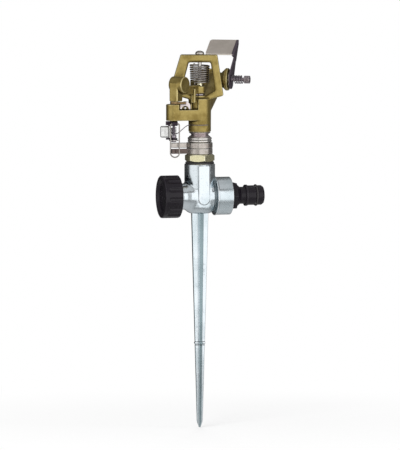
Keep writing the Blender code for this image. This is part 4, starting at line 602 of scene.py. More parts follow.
def outline_distance(x, y, corners):
    """Signed distance to a closed outline, negative inside it.

    A point is inside if a ray along +X from it crosses the sides an odd number of times.
    """
    corners = np.asarray(corners, float)
    loop = np.concatenate([corners, corners[:1]])
    inside = np.zeros(x.shape, bool)
    for (ax, ay), (bx, by) in zip(loop, loop[1:]):
        if ay != by:
            inside ^= ((ay > y) != (by > y)) & (x - ax < (bx - ax) * (y - ay) / (by - ay))
    return np.where(inside, -1, 1) * line_distance(x, y, loop)


def rod(points, spot, radius, low, high, edge=0.0):
    x, y, z = seen_from(spot, points)
    return slab(np.hypot(x, y) - radius, between(z, low, high), edge)


def turned(points, spot, corners):
    """A profile of (radius, height) turned about a place's Z. Points on the axis belong
    past it, at FAR_INSIDE, so that the axis isn't taken for a side."""
    x, y, z = seen_from(spot, points)
    return outline_distance(np.hypot(x, y), z, corners)


def block(points, spot, low, high, edge=0.0):
    """A box between two corners of a place, with its edges rounded."""
    low, high = np.array(low), np.array(high)
    local = np.stack(seen_from(spot, points), axis=1)
    over = np.abs(local - (low + high) / 2) - (high - low) / 2 + edge
    outside = np.linalg.norm(np.maximum(over, 0), axis=1)
    return np.minimum(over.max(axis=1), 0) + outside - edge


def plate(points, spot, outline, low, high, edge=0.0):
    """An outline in a place's XY plane, thick from low to high along its Z."""
    x, y, z = seen_from(spot, points)
    return slab(outline_distance(x, y, outline), between(z, low, high), edge)


def two_circles(x, y, reach, first, second):
    """Distance to the hull of a circle at the origin and one at (reach, 0)."""
    y = np.abs(y)
    lean = (first - second) / reach
    level = math.sqrt(1 - lean**2)
    along = x * level - y * lean
    flank = y * level + x * lean - first
    near = np.hypot(x, y) - first
    far = np.hypot(x - reach, y) - second
    return np.where(along < 0, near, np.where(along > level * reach, far, flank))


def fuse(first, second, fillet):
    """The nearer of two distances, rounded by the fillet where the two are alike."""
    blend = np.maximum(fillet - np.abs(first - second), 0)
    return np.minimum(first, second) - blend**2 / (4 * fillet)


def joined(solid, *forms):
    """The solid with other forms, each with the fillet where it meets what came before."""
    for form, fillet in forms:
        solid = fuse(solid, form, fillet)
    return solid


def carve(solid, tool, rim=RIM):
    """The solid without the tool, with its new edges rounded."""
    return -fuse(-solid, tool, rim)


def drilled(solid, points, bores):
    """The solid without its round holes: each a place, a radius, two ends and maybe a rim."""
    for spot, radius, low, high, *rim in bores.values():
        solid = carve(solid, rod(points, spot, radius, low, high), *rim)
    return solid


def cubes(axes):
    """All points whose x, y and z are in three lists."""
    return np.stack(np.meshgrid(*axes, indexing="ij"), axis=-1).reshape(-1, 3)


def sample(field, low, high, step):
    """The field on a grid. It is worked out at the middle of each block of cells first, and
    in full only in blocks that the surface can reach, since it changes by at most its step."""
    side = 6
    blocks = np.ceil((high - low) / (step * side)).astype(int) + 1
    reach = step * side * math.sqrt(3) / 2 + step * 2
    middles = cubes([low[k] + step * side * (np.arange(blocks[k]) + 0.5) for k in range(3)])
    coarse = field(middles)
    values = np.repeat(coarse[:, None], side**3, axis=1)
    near = np.abs(coarse) < reach
    offsets = cubes([(np.arange(side) - side / 2 + 0.5) * step] * 3)
    close = (middles[near][:, None] + offsets[None]).reshape(-1, 3)
    values[near] = field(close).reshape(-1, side**3)
    values = values.reshape(*blocks, side, side, side).transpose(0, 3, 1, 4, 2, 5)
    return values.reshape(blocks * side), low + step / 2


def skin(field, low, high, step, region=None):
    """Surface where a distance field is zero, as points, quads and marks.

    Each cell of the grid that the surface crosses gets one point, the mean of the places
    where the cell's edges cross it. Each crossed edge of the grid joins the points of its
    four cells. The points are then moved along the field's slope on to the surface.
    A point is as shut in as the field falls short of the distance from it, on its way out.
    """
    low, high = np.array(low) - 3 * step, np.array(high) + 3 * step
    values, origin = sample(field, low, high, step)
    inside = values < 0
    size = np.array(values.shape) - 1
    count = np.zeros(size, np.int8)
    for i, j, k in product((0, 1), repeat=3):
        count += inside[i : i + size[0], j : j + size[1], k : k + size[2]]
    mixed = (count > 0) & (count < 8)
    cells = np.argwhere(mixed)
    index = np.full(mixed.shape, -1)
    index[mixed] = np.arange(len(cells))
    total = np.zeros((len(cells), 3))
    hits = np.zeros(len(cells))
    faces = []
    for axis in range(3):
        ahead, back_one, back_two = np.roll(np.eye(3, dtype=int), -axis, axis=0)
        for i, j in product((0, 1), repeat=2):
            corner = cells + i * back_one + j * back_two
            a, b = values[tuple(corner.T)], values[tuple((corner + ahead).T)]
            crossed = (a < 0) != (b < 0)
            share = np.where(crossed, a / np.where(crossed, a - b, 1), 0)
            total += np.where(crossed[:, None], corner + share[:, None] * ahead, 0)
            hits += crossed
        first = inside[tuple(slice(0, -1) if k == axis else slice(1, -1) for k in range(3))]
        second = inside[tuple(slice(1, None) if k == axis else slice(1, -1) for k in range(3))]
        for leaving, found in ((True, first & ~second), (False, ~first & second)):
            edge = np.argwhere(found) + 1 - ahead
            around = [edge - back_one - back_two, edge - back_two, edge, edge - back_one]
            quads = np.stack([index[tuple(cell.T)] for cell in around], axis=1)
            faces.append(quads if leaving else quads[:, ::-1])
    points = origin + step * total / hits[:, None]
    nudge = step / 4
    for _ in range(2):
        sides = [field(points + nudge * way) - field(points - nudge * way) for way in np.eye(3)]
        slope = np.stack(sides, axis=1) / (2 * nudge)
        square = np.maximum((slope**2).sum(axis=1), 0.2)
        points = points - slope * np.clip(field(points) / square, -step, step)[:, None]
    way = unit(slope)
    # The cavity mark is an occlusion term: the finishes paint shade into hollows from it.
    open_air = [np.clip(field(points + way * reach) / reach, 0, 1) for reach in AIR_REACHES]
    marks = {"cavity": 1 - np.mean(open_air, axis=0)}
    if region:
        marks["second"] = region(points)
    return points, [np.concatenate(faces)], marks


def casting(name, field, body, node, look, step, region=None, box=None):
    """A piece with a distance field's surface, in its solid's box unless another is given."""
    low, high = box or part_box(node)
    piece(name, skin(field, low, high, step, region), body, node, look)


def add(tree, kind, inputs=None, **settings):
    """A shader node with its settings, and with each input set or linked from a socket."""
    made = tree.nodes.new("ShaderNode" + kind)
    for name, value in settings.items():
        setattr(made, name, value)
    for key, value in (inputs or {}).items():
        if isinstance(value, bpy.types.NodeSocket):
            tree.links.new(value, made.inputs[key])
        else:
            made.inputs[key].default_value = value
    return made


def maths(operation, first, *others, clamp=False):
    """Math nodes in a row, each on what the one before it gives and the next value."""
    for other in others or (0.0,):
        inputs = {0: first, 1: other}
        made = add(first.id_data, "Math", inputs, operation=operation, use_clamp=clamp)
        first = made.outputs[0]
    return first


times = partial(maths, "MULTIPLY")
plus = partial(maths, "ADD")
less = partial(maths, "SUBTRACT")
most = partial(maths, "MAXIMUM")
size_of = partial(maths, "ABSOLUTE")


def ramp(value, low, high, to_low=0.0, to_high=1.0):
    """A value eased between two ends."""
    ends = {"Value": value, "From Min": low, "From Max": high, "To Min": to_low, "To Max": to_high}
    return add(value.id_data, "MapRange", ends, interpolation_type="SMOOTHSTEP").outputs["Result"]


def mixed_colour(share, first, second):
    first, second = (
        value if isinstance(value, bpy.types.NodeSocket) else (*value, 1) for value in (first, second)
    )
    return add(share.id_data, "Mix", {0: share, 6: first, 7: second}, data_type="RGBA").outputs[2]


def noise(vector, scale, detail=3.0, roughness=0.55, dimensions="3D"):
    inputs = {"Scale": scale, "Detail": detail, "Roughness": roughness}
    inputs["W" if dimensions == "1D" else "Vector"] = vector
    return add(vector.id_data, "TexNoise", inputs, noise_dimensions=dimensions).outputs[0]


def mark_of(tree, name):
    """A piece's own mark, one of those that it was made with."""
    return add(tree, "Attribute", attribute_name=name).outputs["Fac"]


def on_piece(tree):
    return add(tree, "TexCoord").outputs["Object"]


def effect_group(name, **inputs):
    """A shader group with float inputs. Gives its tree and its inputs."""
    made = bpy.data.node_groups.new(name, "ShaderNodeTree")
    for socket, default in inputs.items():
        entry = made.interface.new_socket(socket, in_out="INPUT", socket_type="NodeSocketFloat")
        entry.default_value = default
    return made, made.nodes.new("NodeGroupInput").outputs


def give(tree, **values):
    """Puts values out of a shader group under their names."""
    out = tree.nodes.new("NodeGroupOutput")
    for name, value in values.items():
        tree.interface.new_socket(name, in_out="OUTPUT", socket_type="NodeSocketFloat")
        tree.links.new(value, out.inputs[name])


def effect(tree, name, **values):
    made = tree.nodes.new("ShaderNodeGroup")
    made.node_tree = bpy.data.node_groups[name]
    for socket, value in values.items():
        made.inputs[socket].default_value = value
    return made.outputs


def shaded(tint, factor):
    """A colour darkened or lightened, whether it is a colour or a socket."""
    if isinstance(tint, bpy.types.NodeSocket):
        inputs = {0: tint, "Scale": factor}
        return add(tint.id_data, "VectorMath", inputs, operation="SCALE").outputs[0]
    return tuple(min(channel * factor, 1.0) for channel in tint)


def looks():
    """Each finish: its clean, its aged and its worn colour, then its own amounts."""
    tints = bpy.context.scene.sprinkler_colours
    dark, nylon = tints.dark, (0.72, 0.70, 0.64)
    return {
        # Zinc's second colour is painted shade and dark reflection on the spike ribs' end faces.
        "die_cast_zinc": (tints.zinc, (0.44, 0.56, 0.60), (0.93, 0.96, 0.98), dict(
            rough=0.19, patches=34, patchy=0.38, mottle=0.1, grain=1500, grain_depth=0.02,
            pits=420, wear=0.7, shade_and_grime=0.55, second=(0.23, 0.30, 0.32),
        )),
        "cast_brass": (tints.brass, (0.17, 0.11, 0.018), (0.72, 0.61, 0.30), dict(
            metallic=0.84, rough=0.32, patches=85, patchy=0.62, grain=1300, pits=520, wear=0.75,
            shade_and_grime=0.95,
        )),
        "turned_brass": (tints.nut, (0.50, 0.44, 0.22), (0.97, 0.94, 0.78), dict(
            metallic=0.94, rough=0.22, patches=90, patchy=0.25, grain_depth=0.008,
            line_depth=0.012, lines=5200, wear=0.5,
        )),
        # Bright steel's second colour is painted shade on the lower stop ring's tab, under the upper
        # ring's tab.
        "bright_steel": (tints.steel, (0.26, 0.22, 0.19), (0.95, 0.94, 0.92), dict(
            metallic=0.92, rough=0.2, patches=130, patchy=0.6, grain_depth=0.006,
            line_depth=0.008, lines=6500, wear=0.45, second=(0.15, 0.115, 0.105),
        )),
        "spring_steel": (shaded(tints.steel, 0.8), (0.17, 0.145, 0.14), (0.93, 0.93, 0.94), dict(
            rough=0.18, patches=150, patchy=0.5, grain_depth=0.004, line_depth=0.004,
            lines=2500, wear=0.2, reach=0.2,
        )),
        # Sheet steel's second colour is dark steel darkened further: its own dark tone with painted dark
        # reflection on the flap's strip.
        "sheet_steel": (tints.sheet, (0.42, 0.375, 0.32), (0.74, 0.70, 0.64), dict(
            metallic=0.35, rough=0.45, patches=55, grain=2100, grain_depth=0.008,
            mark_depth=0.015, wear=0.4, mottle=0.1, specks=0.1, second=shaded(dark, 0.45),
        )),
        "dark_steel": (dark, (0.05, 0.04, 0.05), (0.55, 0.50, 0.54), dict(
            rough=0.24, patches=140, grain_depth=0.006, line_depth=0.008, wear=0.5,
        )),
        "knurled_steel": (shaded(dark, 1.9), shaded(dark, 0.8), (0.74, 0.68, 0.68), dict(
            rough=0.26, patches=140, patchy=0.3, grain_depth=0.006, line_depth=0.008, wear=0.8,
            reach=1.6,
        )),
        # Trip steel's second colour is painted shade on the lever's web, hub and foot, under the bracket
        # and the weight.
        "trip_steel": ((0.82, 0.83, 0.82), (0.36, 0.34, 0.33), (0.95, 0.95, 0.95), dict(
            rough=0.2, patches=150, patchy=0.3, grain_depth=0.006, wear=0.5, shade_and_grime=0.95,
            second=shaded(dark, 0.35),
        )),
        "pale_plated": (tints.pale, (0.42, 0.34, 0.34), (0.96, 0.93, 0.92), dict(
            rough=0.3, patches=160, patchy=0.3, grain_depth=0.01, wear=0.5,
            second=(0.30, 0.20, 0.10),
        )),
        "moulded_plastic": (tints.plastic, (0.016, 0.013, 0.018), (0.04, 0.036, 0.042), dict(
            metallic=0.0, rough=0.27, patches=45, patchy=0.35, grain=3200, grain_depth=0.01,
            pits=1200, wear=0.2, shade_and_grime=0.0, specks=0.1, mark_depth=0.008, specular=0.27,
        )),
        "black_rubber": (tints.rubber, (0.03, 0.027, 0.028), (0.06, 0.055, 0.055), dict(
            metallic=0.0, rough=0.6, patches=110, patchy=0.5, grain=3000, grain_depth=0.02,
            pits=1500, wear=0.3, shade_and_grime=0.0, specular=0.3,
        )),
        "pale_nylon": (nylon, shaded(nylon, 0.7), shaded(nylon, 1.2), dict(
            metallic=0.0, rough=0.45, patches=80, grain_depth=0.02, wear=0.0, shade_and_grime=0.0,
        )),
    }


def finish(name):
    """A finish, made when it is first asked for. Its clean colour goes towards aged in patches,
    towards a darker tone in hollows, which is painted shade as well as dirt, and towards worn
    on edges and scratches."""
    known = bpy.data.materials.get(name)
    if known:
        return known
    clean, aged, worn, own = looks()[name]
    amount = {**AMOUNTS, **own}
    made = bpy.data.materials.new(name)
    made.use_nodes = True
    tree = made.node_tree
    shader = tree.nodes["Principled BSDF"]
    wear = effect(tree, "edge_wear_and_shade", Reach=amount["reach"])
    grain = effect(tree, "cast_grain", Grain=amount["grain"], Pits=amount["pits"])
    old = effect(tree, "tarnish", Size=amount["patches"])
    lines = effect(tree, "tool_lines", Lines=amount["lines"])
    marks = effect(tree, "scratches")
    if "second" in own:
        region, second = mark_of(tree, "second"), own["second"]
        clean = mixed_colour(region, clean, second)
        aged = mixed_colour(region, aged, shaded(second, 0.5))
        worn = mixed_colour(region, worn, shaded(second, 2.2))
    darkest = shaded(aged, 0.3)
    base = mixed_colour(times(old["Patch"], amount["patchy"]), clean, aged)
    base = mixed_colour(times(grain["Tone"], amount["mottle"]), base, aged)
    base = mixed_colour(times(old["Speck"], amount["specks"]), base, darkest)
    # Painted shade as well as dirt: hollows and shut-in places go towards the darkest tone.
    base = mixed_colour(times(wear["Grime"], amount["shade_and_grime"]), base, darkest)
    shine = most(times(wear["Wear"], amount["wear"]), times(marks["Mark"], amount["mark_shine"]))
    base = mixed_colour(shine, base, worn)
    dull = plus(times(old["Patch"], amount["patch_dull"]), amount["rough"] - amount["patch_dull"] / 3)
    dull = plus(dull, times(wear["Grime"], amount["grime_dull"]))
    dull = less(dull, times(shine, amount["wear_gloss"]), clamp=True)
    dull = plus(dull, times(lines["Tone"], amount["line_dull"]))
    shader.inputs["Metallic"].default_value = amount["metallic"]
    shader.inputs["Specular IOR Level"].default_value = amount["specular"]
    relief = times(grain["Height"], amount["grain_depth"])
    ridges = times(lines["Height"], amount["line_depth"])
    relief = plus(relief, ridges, times(marks["Height"], amount["mark_depth"]))
    bump = add(tree, "Bump", {"Height": relief, "Strength": 1.0, "Distance": MM}).outputs["Normal"]
    for socket, value in (("Base Color", base), ("Roughness", dull), ("Normal", bump)):
        tree.links.new(value, shader.inputs[socket])
    return made


def turned_piece(name, profile, spot, body, node, look, **options):
    piece(name, lathe(profile, spot, **options), body, node, look)


def washer(name, spot, body, node, look, bore, radius, low, thick, edge, steps=96):
    """A flat ring, whose section's four corners are rounded."""
    corners = [(radius, low + thick), (radius, low), (bore, low), (bore, low + thick)]
    section = rounded(corners, edge, count=6)
    turned_piece(name, section, spot, body, node, look, steps=steps, ring=True)


class SprinklerOperator:
    """Shared by the operators: each makes its pieces and ends."""

    bl_options = {"REGISTER", "UNDO"}

    def execute(self, context):
        self.make(context.scene)
        return {"FINISHED"}


class SPRINKLER_OT_effects(SprinklerOperator, bpy.types.Operator):
    """Build the shared effects of the finishes"""

    bl_idname = "sprinkler.effects"
    bl_label = "Finish effects"

    def make(self, scene):
        """Worn edges, hollows darkened as painted shade and dirt, a casting's grain, tarnish, tool
        lines, scratches.
        """
        tree, into = effect_group("edge_wear_and_shade", Reach=1.0, Ragged=0.5)
        bend, spot = mark_of(tree, "edge"), on_piece(tree)
        worn = less(times(bend, into["Reach"]), times(noise(spot, 900, 4), into["Ragged"]))
        # Painted shade with dirt: hollows and shut-in places darken by the bend and the cavity mark.
        hollow = plus(times(bend, -1.0), times(mark_of(tree, "cavity"), 1.3))
        shade_and_dirt = less(hollow, times(noise(spot, 260, 3), 0.5))
        give(tree, Wear=ramp(worn, 0.02, 0.42), Grime=ramp(shade_and_dirt, -0.05, 0.75))

        tree, into = effect_group("cast_grain", Grain=2600.0, Pits=700.0)
        spot = on_piece(tree)
        fine = noise(spot, into["Grain"], 3, 0.6)
        cell = add(tree, "TexVoronoi", {"Vector": spot, "Scale": into["Pits"]}).outputs["Distance"]
        pitted = most(ramp(cell, 0.02, 0.16), ramp(noise(spot, 330, 2), 0.42, 0.6))
        give(tree, Height=plus(times(fine, 0.6), pitted), Tone=ramp(fine, 0.3, 0.7))

        tree, into = effect_group("tarnish", Size=60.0)
        spot = on_piece(tree)
        cloud = noise(spot, into["Size"], 5, 0.6)
        speck = noise(spot, times(into["Size"], 14), 2)
        give(tree, Patch=ramp(cloud, 0.38, 0.66), Speck=ramp(speck, 0.62, 0.72))

        tree, into = effect_group("tool_lines", Lines=9000.0)
        lines = noise(times(mark_of(tree, "along"), into["Lines"]), 1.0, 2, 0.7, "1D")
        give(tree, Height=lines, Tone=ramp(lines, 0.35, 0.65))

        tree, into = effect_group("scratches", Scale=160.0)
        spot = on_piece(tree)
        lean = {0: spot, "Rotation": (0.5, 0.35, 0.6), "Scale": (9, 1, 0.7)}
        streak = noise(add(tree, "Mapping", lean).outputs[0], into["Scale"], 2, 0.5)
        thin = ramp(size_of(less(streak, 0.5)), 0.0, 0.012, 1.0, 0.0)
        mark = times(thin, ramp(noise(spot, 90, 2), 0.5, 0.62))
        give(tree, Mark=mark, Height=times(mark, -1))


class SPRINKLER_OT_spike(SprinklerOperator, bpy.types.Operator):
    """Make the cross-shaped spike"""

    bl_idname = "sprinkler.spike"
    bl_label = "Spike"

    def make(self, scene):
        """Each station's section is a cross: per quarter, two outer corners and one inner
        corner as arcs, and the thin ridge that a casting's two halves leave on each rib."""
        sizes = scene.sprinkler_base
        point, edge = 6 * MM, 0.9 * MM
        straight = sizes.spike_length - point
        band = sizes.band_depth
        runs = [np.linspace(-3.6 * MM, band - edge, 64), band + np.linspace(-1, 1, 13)[1:-1] * edge]
        runs.append(np.linspace(band + edge, straight, 44))
        runs.append(straight + point * np.sin(np.linspace(0, 90, 14)[1:] * math.pi / 180))
        depth = np.concatenate(runs)
        share = np.clip(depth / straight, 0, 1)
        past = np.clip((depth - straight) / point, 0, 1)
        swell = 0.4 * MM * np.clip(np.cos((depth - band) / edge * math.pi / 2) * 1.8, 0, 1)
        swell[np.abs(depth - band) > edge] = 0
        half = (sizes.spike_top + share * (sizes.spike_end - sizes.spike_top)) / 2
        half = half + (0.7 * MM - half) * past**1.3 + swell
        rib = (sizes.rib_top + share * (sizes.rib_end - sizes.rib_top)) / 2
        rib = rib + (0.28 * MM - rib) * past + swell
        corner = np.minimum(0.55 * MM, rib * 0.45)
        fillet = np.minimum(1.1 * MM, (half - rib) * 0.3)
        turn = np.radians(np.linspace(0, 90, 6))[None]
        sin, cos = np.sin(turn), np.cos(turn)

        def rounding(x, y, radius, spokes):
            """An arc at every station, along the spokes from its middle at (x, y)."""
            return np.stack([x, y], -1)[:, None] + np.stack(spokes, -1) * radius[:, None, None]

        columns = [rounding(half - corner, corner - rib, corner, (sin, -cos))]
        slim = np.minimum(rib / (1.2 * MM), 1)
        for lift, aside in ((0, -0.28 * MM), (0.12 * MM, 0), (0, 0.28 * MM)):
            columns.append(np.stack([half + (1 - past) * lift, aside * slim], -1)[:, None])
        columns.append(rounding(half - corner, rib - corner, corner, (cos, sin)))
        columns.append(rounding(rib + fillet, rib + fillet, fillet, (-sin, -cos)))
        quarter = np.concatenate(columns, axis=1)
        quarters = [quarter @ np.array(Matrix.Rotation(-k * math.pi / 2, 2)) for k in range(4)]
        section = np.concatenate(quarters, axis=1)
        levels = np.broadcast_to(-depth[:, None, None], (*section.shape[:2], 1))
        rings = np.concatenate([section, levels], axis=2)
        points, faces = capped(rings, [0, 0, -depth[0]], [0, 0, -depth[-1] - 0.1 * MM])
        # The end face of each rib takes the zinc's darker second colour: painted shade and dark
        # reflection.
        on_end = [0, 0.2, 0.7, *[1] * 9, 0.7, 0.2, *[0] * 7]
        second = np.concatenate([np.tile(on_end, 4 * len(depth)), [0, 1]])
        piece("spike_ribs", (points, faces, {"second": second}), "base", "spike_tee", "die_cast_zinc")


class SPRINKLER_OT_tee(SprinklerOperator, bpy.types.Operator):
    """Make the tee that the spike carries"""

    bl_idname = "sprinkler.tee"
    bl_label = "Tee"

    def make(self, scene):
        sizes = scene.sprinkler_base
        radius = sizes.riser / 2
        foot = 7.5 * MM
        turn = np.radians(np.linspace(90, 0, 14))[1:-1]
        hull = np.stack([foot + (radius - foot) * np.sin(turn), sizes.hull * (1 - np.cos(turn))], 1)
        riser = [(radius - 0.5 * MM, sizes.tee_top), (radius, sizes.tee_top - 0.5 * MM)]
        riser += [(radius, sizes.hull), *hull, (foot, 0), (FAR_INSIDE, 0), (FAR_INSIDE, sizes.tee_top)]
        upright, across = place(), place((0, 0, sizes.pipe_height), (0, math.pi / 2, 0))
        pipe, collar, stub = sizes.pipe / 2, sizes.collar / 2, sizes.stub / 2
        start, face = sizes.collar_start, sizes.collar_end
        stub_start, stub_end = -19.4 * MM, -27.7 * MM
        lip = collar + 0.4 * MM
        pipe_line = [(FAR_INSIDE, face), (collar, face), (collar, start + 1.3 * MM)]
        pipe_line += [(lip, start + 0.9 * MM), (lip, start), (pipe, start), (pipe, stub_start)]
        pipe_line += [(stub, stub_start), (stub, stub_end), (FAR_INSIDE, stub_end)]
        pipe_line = rounded(pipe_line, 0.5 * MM, count=4)
        shoulder = [(FAR_INSIDE, radius), (pipe + 2 * MM, radius - 3 * MM)]
        shoulder += [(pipe + 2 * MM, 3 * MM - radius), (pipe + 0.5 * MM, -radius - 0.8 * MM)]
        shoulder += [(pipe, -radius - 3 * MM), (FAR_INSIDE, -radius - 3 * MM)]
        panel_spot = place(rotation=(0, 0, math.radians(272.5)))
        half, panel_top = 4.7 * MM, sizes.tee_top - 1.2 * MM
        panel = [(panel_top, half), *arc((7.8 * MM + half, 0), half, 90, 270, 17), (panel_top, -half)]
        bores = {
            "thread": (upright, 9.3 * MM, 24 * MM, 60 * MM, 0.6 * MM),
            "passage": (upright, 6 * MM, sizes.pipe_height, 30 * MM),
            "cross passage": (across, 7.5 * MM, -40 * MM, 40 * MM, 0.6 * MM),
            "socket": (across, 10.2 * MM, face - 11.2 * MM, 40 * MM, 0.8 * MM),
        }

        def field(points):
            x, y, z = seen_from(panel_spot, points)
            raised = slab(outline_distance(z, y, panel), between(x, radius / 2, radius + FIT), 0.4 * MM)
            cross = fuse(turned(points, across, pipe_line), turned(points, across, shoulder), 1 * MM)
            solid = joined(turned(points, upright, riser), (cross, 1.5 * MM), (raised, 0.5 * MM))
            return drilled(solid, points, bores)

        box = (stub_end, -lip, -2.2 * MM), (face, lip, sizes.tee_top)
        step = scene.sprinkler_head.cast_step
        casting("tee_casting", field, "base", "spike_tee", "die_cast_zinc", step, box=box)


class SPRINKLER_OT_cap(SprinklerOperator, bpy.types.Operator):
    """Make the fluted cap that closes the unused outlet"""

    bl_idname = "sprinkler.cap"
    bl_label = "Outlet cap"

    def make(self, scene):
        """The outside radius is the least of the rim's and, near a flute's middle, the far
        side of a round cutter: D cos a - sqrt(c c - D D sin a sin a)."""
        sizes = scene.sprinkler_base
        spot = place((0, 0, sizes.pipe_height), (0, -math.pi / 2, 0))
        radius, start, end = sizes.cap / 2, sizes.cap_start, sizes.cap_end
        cavity = sizes.stub / 2 + FIT
        web_low, web_high, dish = 29.5 * MM, 31.7 * MM, 14.2 * MM
        corners = [(0, web_high), (dish - 1 * MM, web_high), (dish, end), (radius, end), (radius, start)]
        corners += [(cavity, start), (cavity, web_low), (0, web_low)]
        profile = divided(rounded(corners, 0.9 * MM, closed=False, count=7), 0.6 * MM)
        cutter, deep = 2.7 * MM, 1.0 * MM
        run_out = start + sizes.flute_reach
        centre = radius + cutter - deep

        def fluted(r, turn, up):
            pitch = 2 * math.pi / sizes.flutes
            off = ((turn - sizes.flute_turn) / pitch) % 1 - 0.5
            end_round = np.clip((up - run_out + cutter) / cutter, 0, 1)
            width = cutter * np.sqrt(np.maximum(1 - end_round**2, 1e-6))
            aside = centre * np.sin(off * pitch)
            bite = centre * np.cos(off * pitch) - np.sqrt(np.maximum(width**2 - aside**2, 0))
            bite = np.where((np.abs(aside) < width) & (up < run_out), bite, 1.0)
            return np.where(r > cavity + 1.6 * MM, np.minimum(r, bite), r)

        options = {"steps": sizes.flutes * 28, "shape": fluted}
        turned_piece("outlet_cap", profile, spot, "cap", "end_cap", "moulded_plastic", **options)


def hexagon(flats, turn, off=0.0):
    """Radius of a hexagon's sides, where off turns it from having a flat at turn 0."""
    return flats / 2 / np.cos((turn - off + math.pi / 6) % (math.pi / 3) - math.pi / 6)


class SPRINKLER_OT_connector(SprinklerOperator, bpy.types.Operator):
    """Make the hose connector, its gasket and its ring"""

    bl_idname = "sprinkler.connector"
    bl_label = "Hose connector"

    def make(self, scene):
        sizes = scene.sprinkler_base
        spot = place((0, 0, sizes.pipe_height), (0, math.pi / 2, 0))
        face = sizes.collar_end
        hex_low, hex_high = 27.3 * MM, 31.0 * MM
        neck_low, lip_low, lip_high = 34.7 * MM, 39.1 * MM, 41.1 * MM
        groove_low, groove_high, end = 47.7 * MM, 49.9 * MM, 55 * MM
        body, bore, neck = 8.3 * MM, sizes.fitting_bore / 2, 7.2 * MM
        groove, lip, shank = 7.3 * MM, 9.0 * MM, 9.9 * MM
        widest = sizes.fitting_hex / 2 / math.cos(math.pi / 6)
        corners = [(bore, end), (body - 1.1 * MM, end), (body, end - 1.6 * MM), (body, groove_high)]
        corners += [(groove, groove_high), (groove, groove_low), (body, groove_low), (body, lip_high)]
        corners += [(lip, lip_high), (lip, lip_low), (neck, lip_low), (neck, neck_low)]
        corners += [(sizes.fitting_hex / 2 - FIT, hex_high), (widest, hex_high), (widest, hex_low)]
        corners += [(shank, hex_low), (shank, face - 10.5 * MM), (bore, face - 10.5 * MM)]
        profile = divided(rounded(corners, 0.35 * MM), 0.7 * MM, closed=True)

        def six_sided(r, turn, up):
            """Flats where the radius passes them, and a small chamfer over the corners."""
            cone = widest + 0.9 * MM - np.abs(up - (hex_low + hex_high) / 2) * 0.75
            limit = np.minimum(hexagon(sizes.fitting_hex, turn), cone)
            in_hex = (up > hex_low - 0.1 * MM) & (up < hex_high + 0.1 * MM)
            return np.where(in_hex, np.minimum(r, limit), r)

        options = {"steps": 180, "ring": True, "shape": six_sided}
        look = "moulded_plastic"
        turned_piece("hose_fitting", profile, spot, "base", "hose_connector", look, **options)
        low, high = face + FIT, face + FIT + 0.7 * MM
        corners = [(10.65 * MM, high), (11.5 * MM, low), (10.2 * MM, low), (10.2 * MM, high)]
        section = rounded(corners, 0.2 * MM)
        look = "black_rubber"
        turned_piece("fitting_gasket", section, spot, "base", "connector_gasket", look, ring=True)
        thick = 0.8 * MM
        section = arc((groove + FIT + thick, (groove_low + groove_high) / 2), thick, 90, -270, 21)[:-1]
        options = {"steps": 120, "ring": True}
        turned_piece("fitting_ring", section, spot, "base", "connector_o_ring", look, **options)


class SPRINKLER_OT_bearing(SprinklerOperator, bpy.types.Operator):
    """Make the seal, the bearing nut and the washers and cover above it"""

    bl_idname = "sprinkler.bearing"
    bl_label = "Bearing"

    def make(self, scene):
        sizes = scene.sprinkler_bearing
        centre = place()
        low = foot_of("seal_washer")
        section = (9.3 * MM, sizes.seal / 2, low, 1.3 * MM, 0.4 * MM)
        washer("riser_seal", centre, "base", "seal_washer", "black_rubber", *section)

        hex_low = low + 1.6 * MM
        hex_high = hex_low + 6.2 * MM
        top, foot = top_of("bearing_nut"), foot_of("bearing_nut")
        flat = sizes.hex_flats / 2
        widest = flat / math.cos(math.pi / 6)
        bore, neck, shank = 5.1 * MM, sizes.neck / 2, 9.0 * MM
        corners = [(bore, top), (neck, top), (neck, hex_high), (flat - 0.5 * MM, hex_high)]
        corners += [(widest, hex_high - 0.05 * MM), (widest, hex_low + 0.05 * MM)]
        corners += [(flat - 0.5 * MM, hex_low), (shank, hex_low), (shank, foot), (bore, foot)]
        profile = divided(rounded(corners, 0.3 * MM, count=4), 0.25 * MM, closed=True)

        def six_sided(r, turn, up):
            """The least of the flats' radius and a cone that breaks the corners."""
            end = np.minimum(up - hex_low, hex_high - up)
            cone = flat - 0.25 * MM + np.maximum(end, 0) * 1.75
            limit = np.minimum(hexagon(sizes.hex_flats, turn, sizes.hex_turn), cone)
            in_hex = (end > -0.02 * MM) & (r > flat - 1.2 * MM)
            return np.where(in_hex, np.minimum(r, limit), r)

        options = {"steps": 240, "ring": True, "shape": six_sided}
        turned_piece("bearing_hex", profile, centre, "base", "bearing_nut", "turned_brass", **options)
        for name, node in (("neck_disc", "neck_washer"), ("cover_disc", "cover_washer")):
            low, thick = foot_of(node), top_of(node) - foot_of(node)
            section = (bore, sizes.washer / 2, low, thick, 0.45 * MM)
            washer(name, centre, "head", node, "bright_steel", *section)

        low, high = foot_of("neck_cover"), top_of("neck_cover")
        mouth, waist = sizes.cover_mouth / 2, sizes.cover_waist / 2
        share = np.linspace(1, 0, 25)
        bell = waist + (mouth - waist) * np.cos(share * math.pi) ** 2
        outside = np.stack([bell, low + (high - low) * share], axis=1)
        profile = np.concatenate([[(COVER_BORE, high)], outside, [(COVER_BORE, low)]])
        turned_piece("bell_cover", profile, centre, "head", "neck_cover", "pale_plated", ring=True)


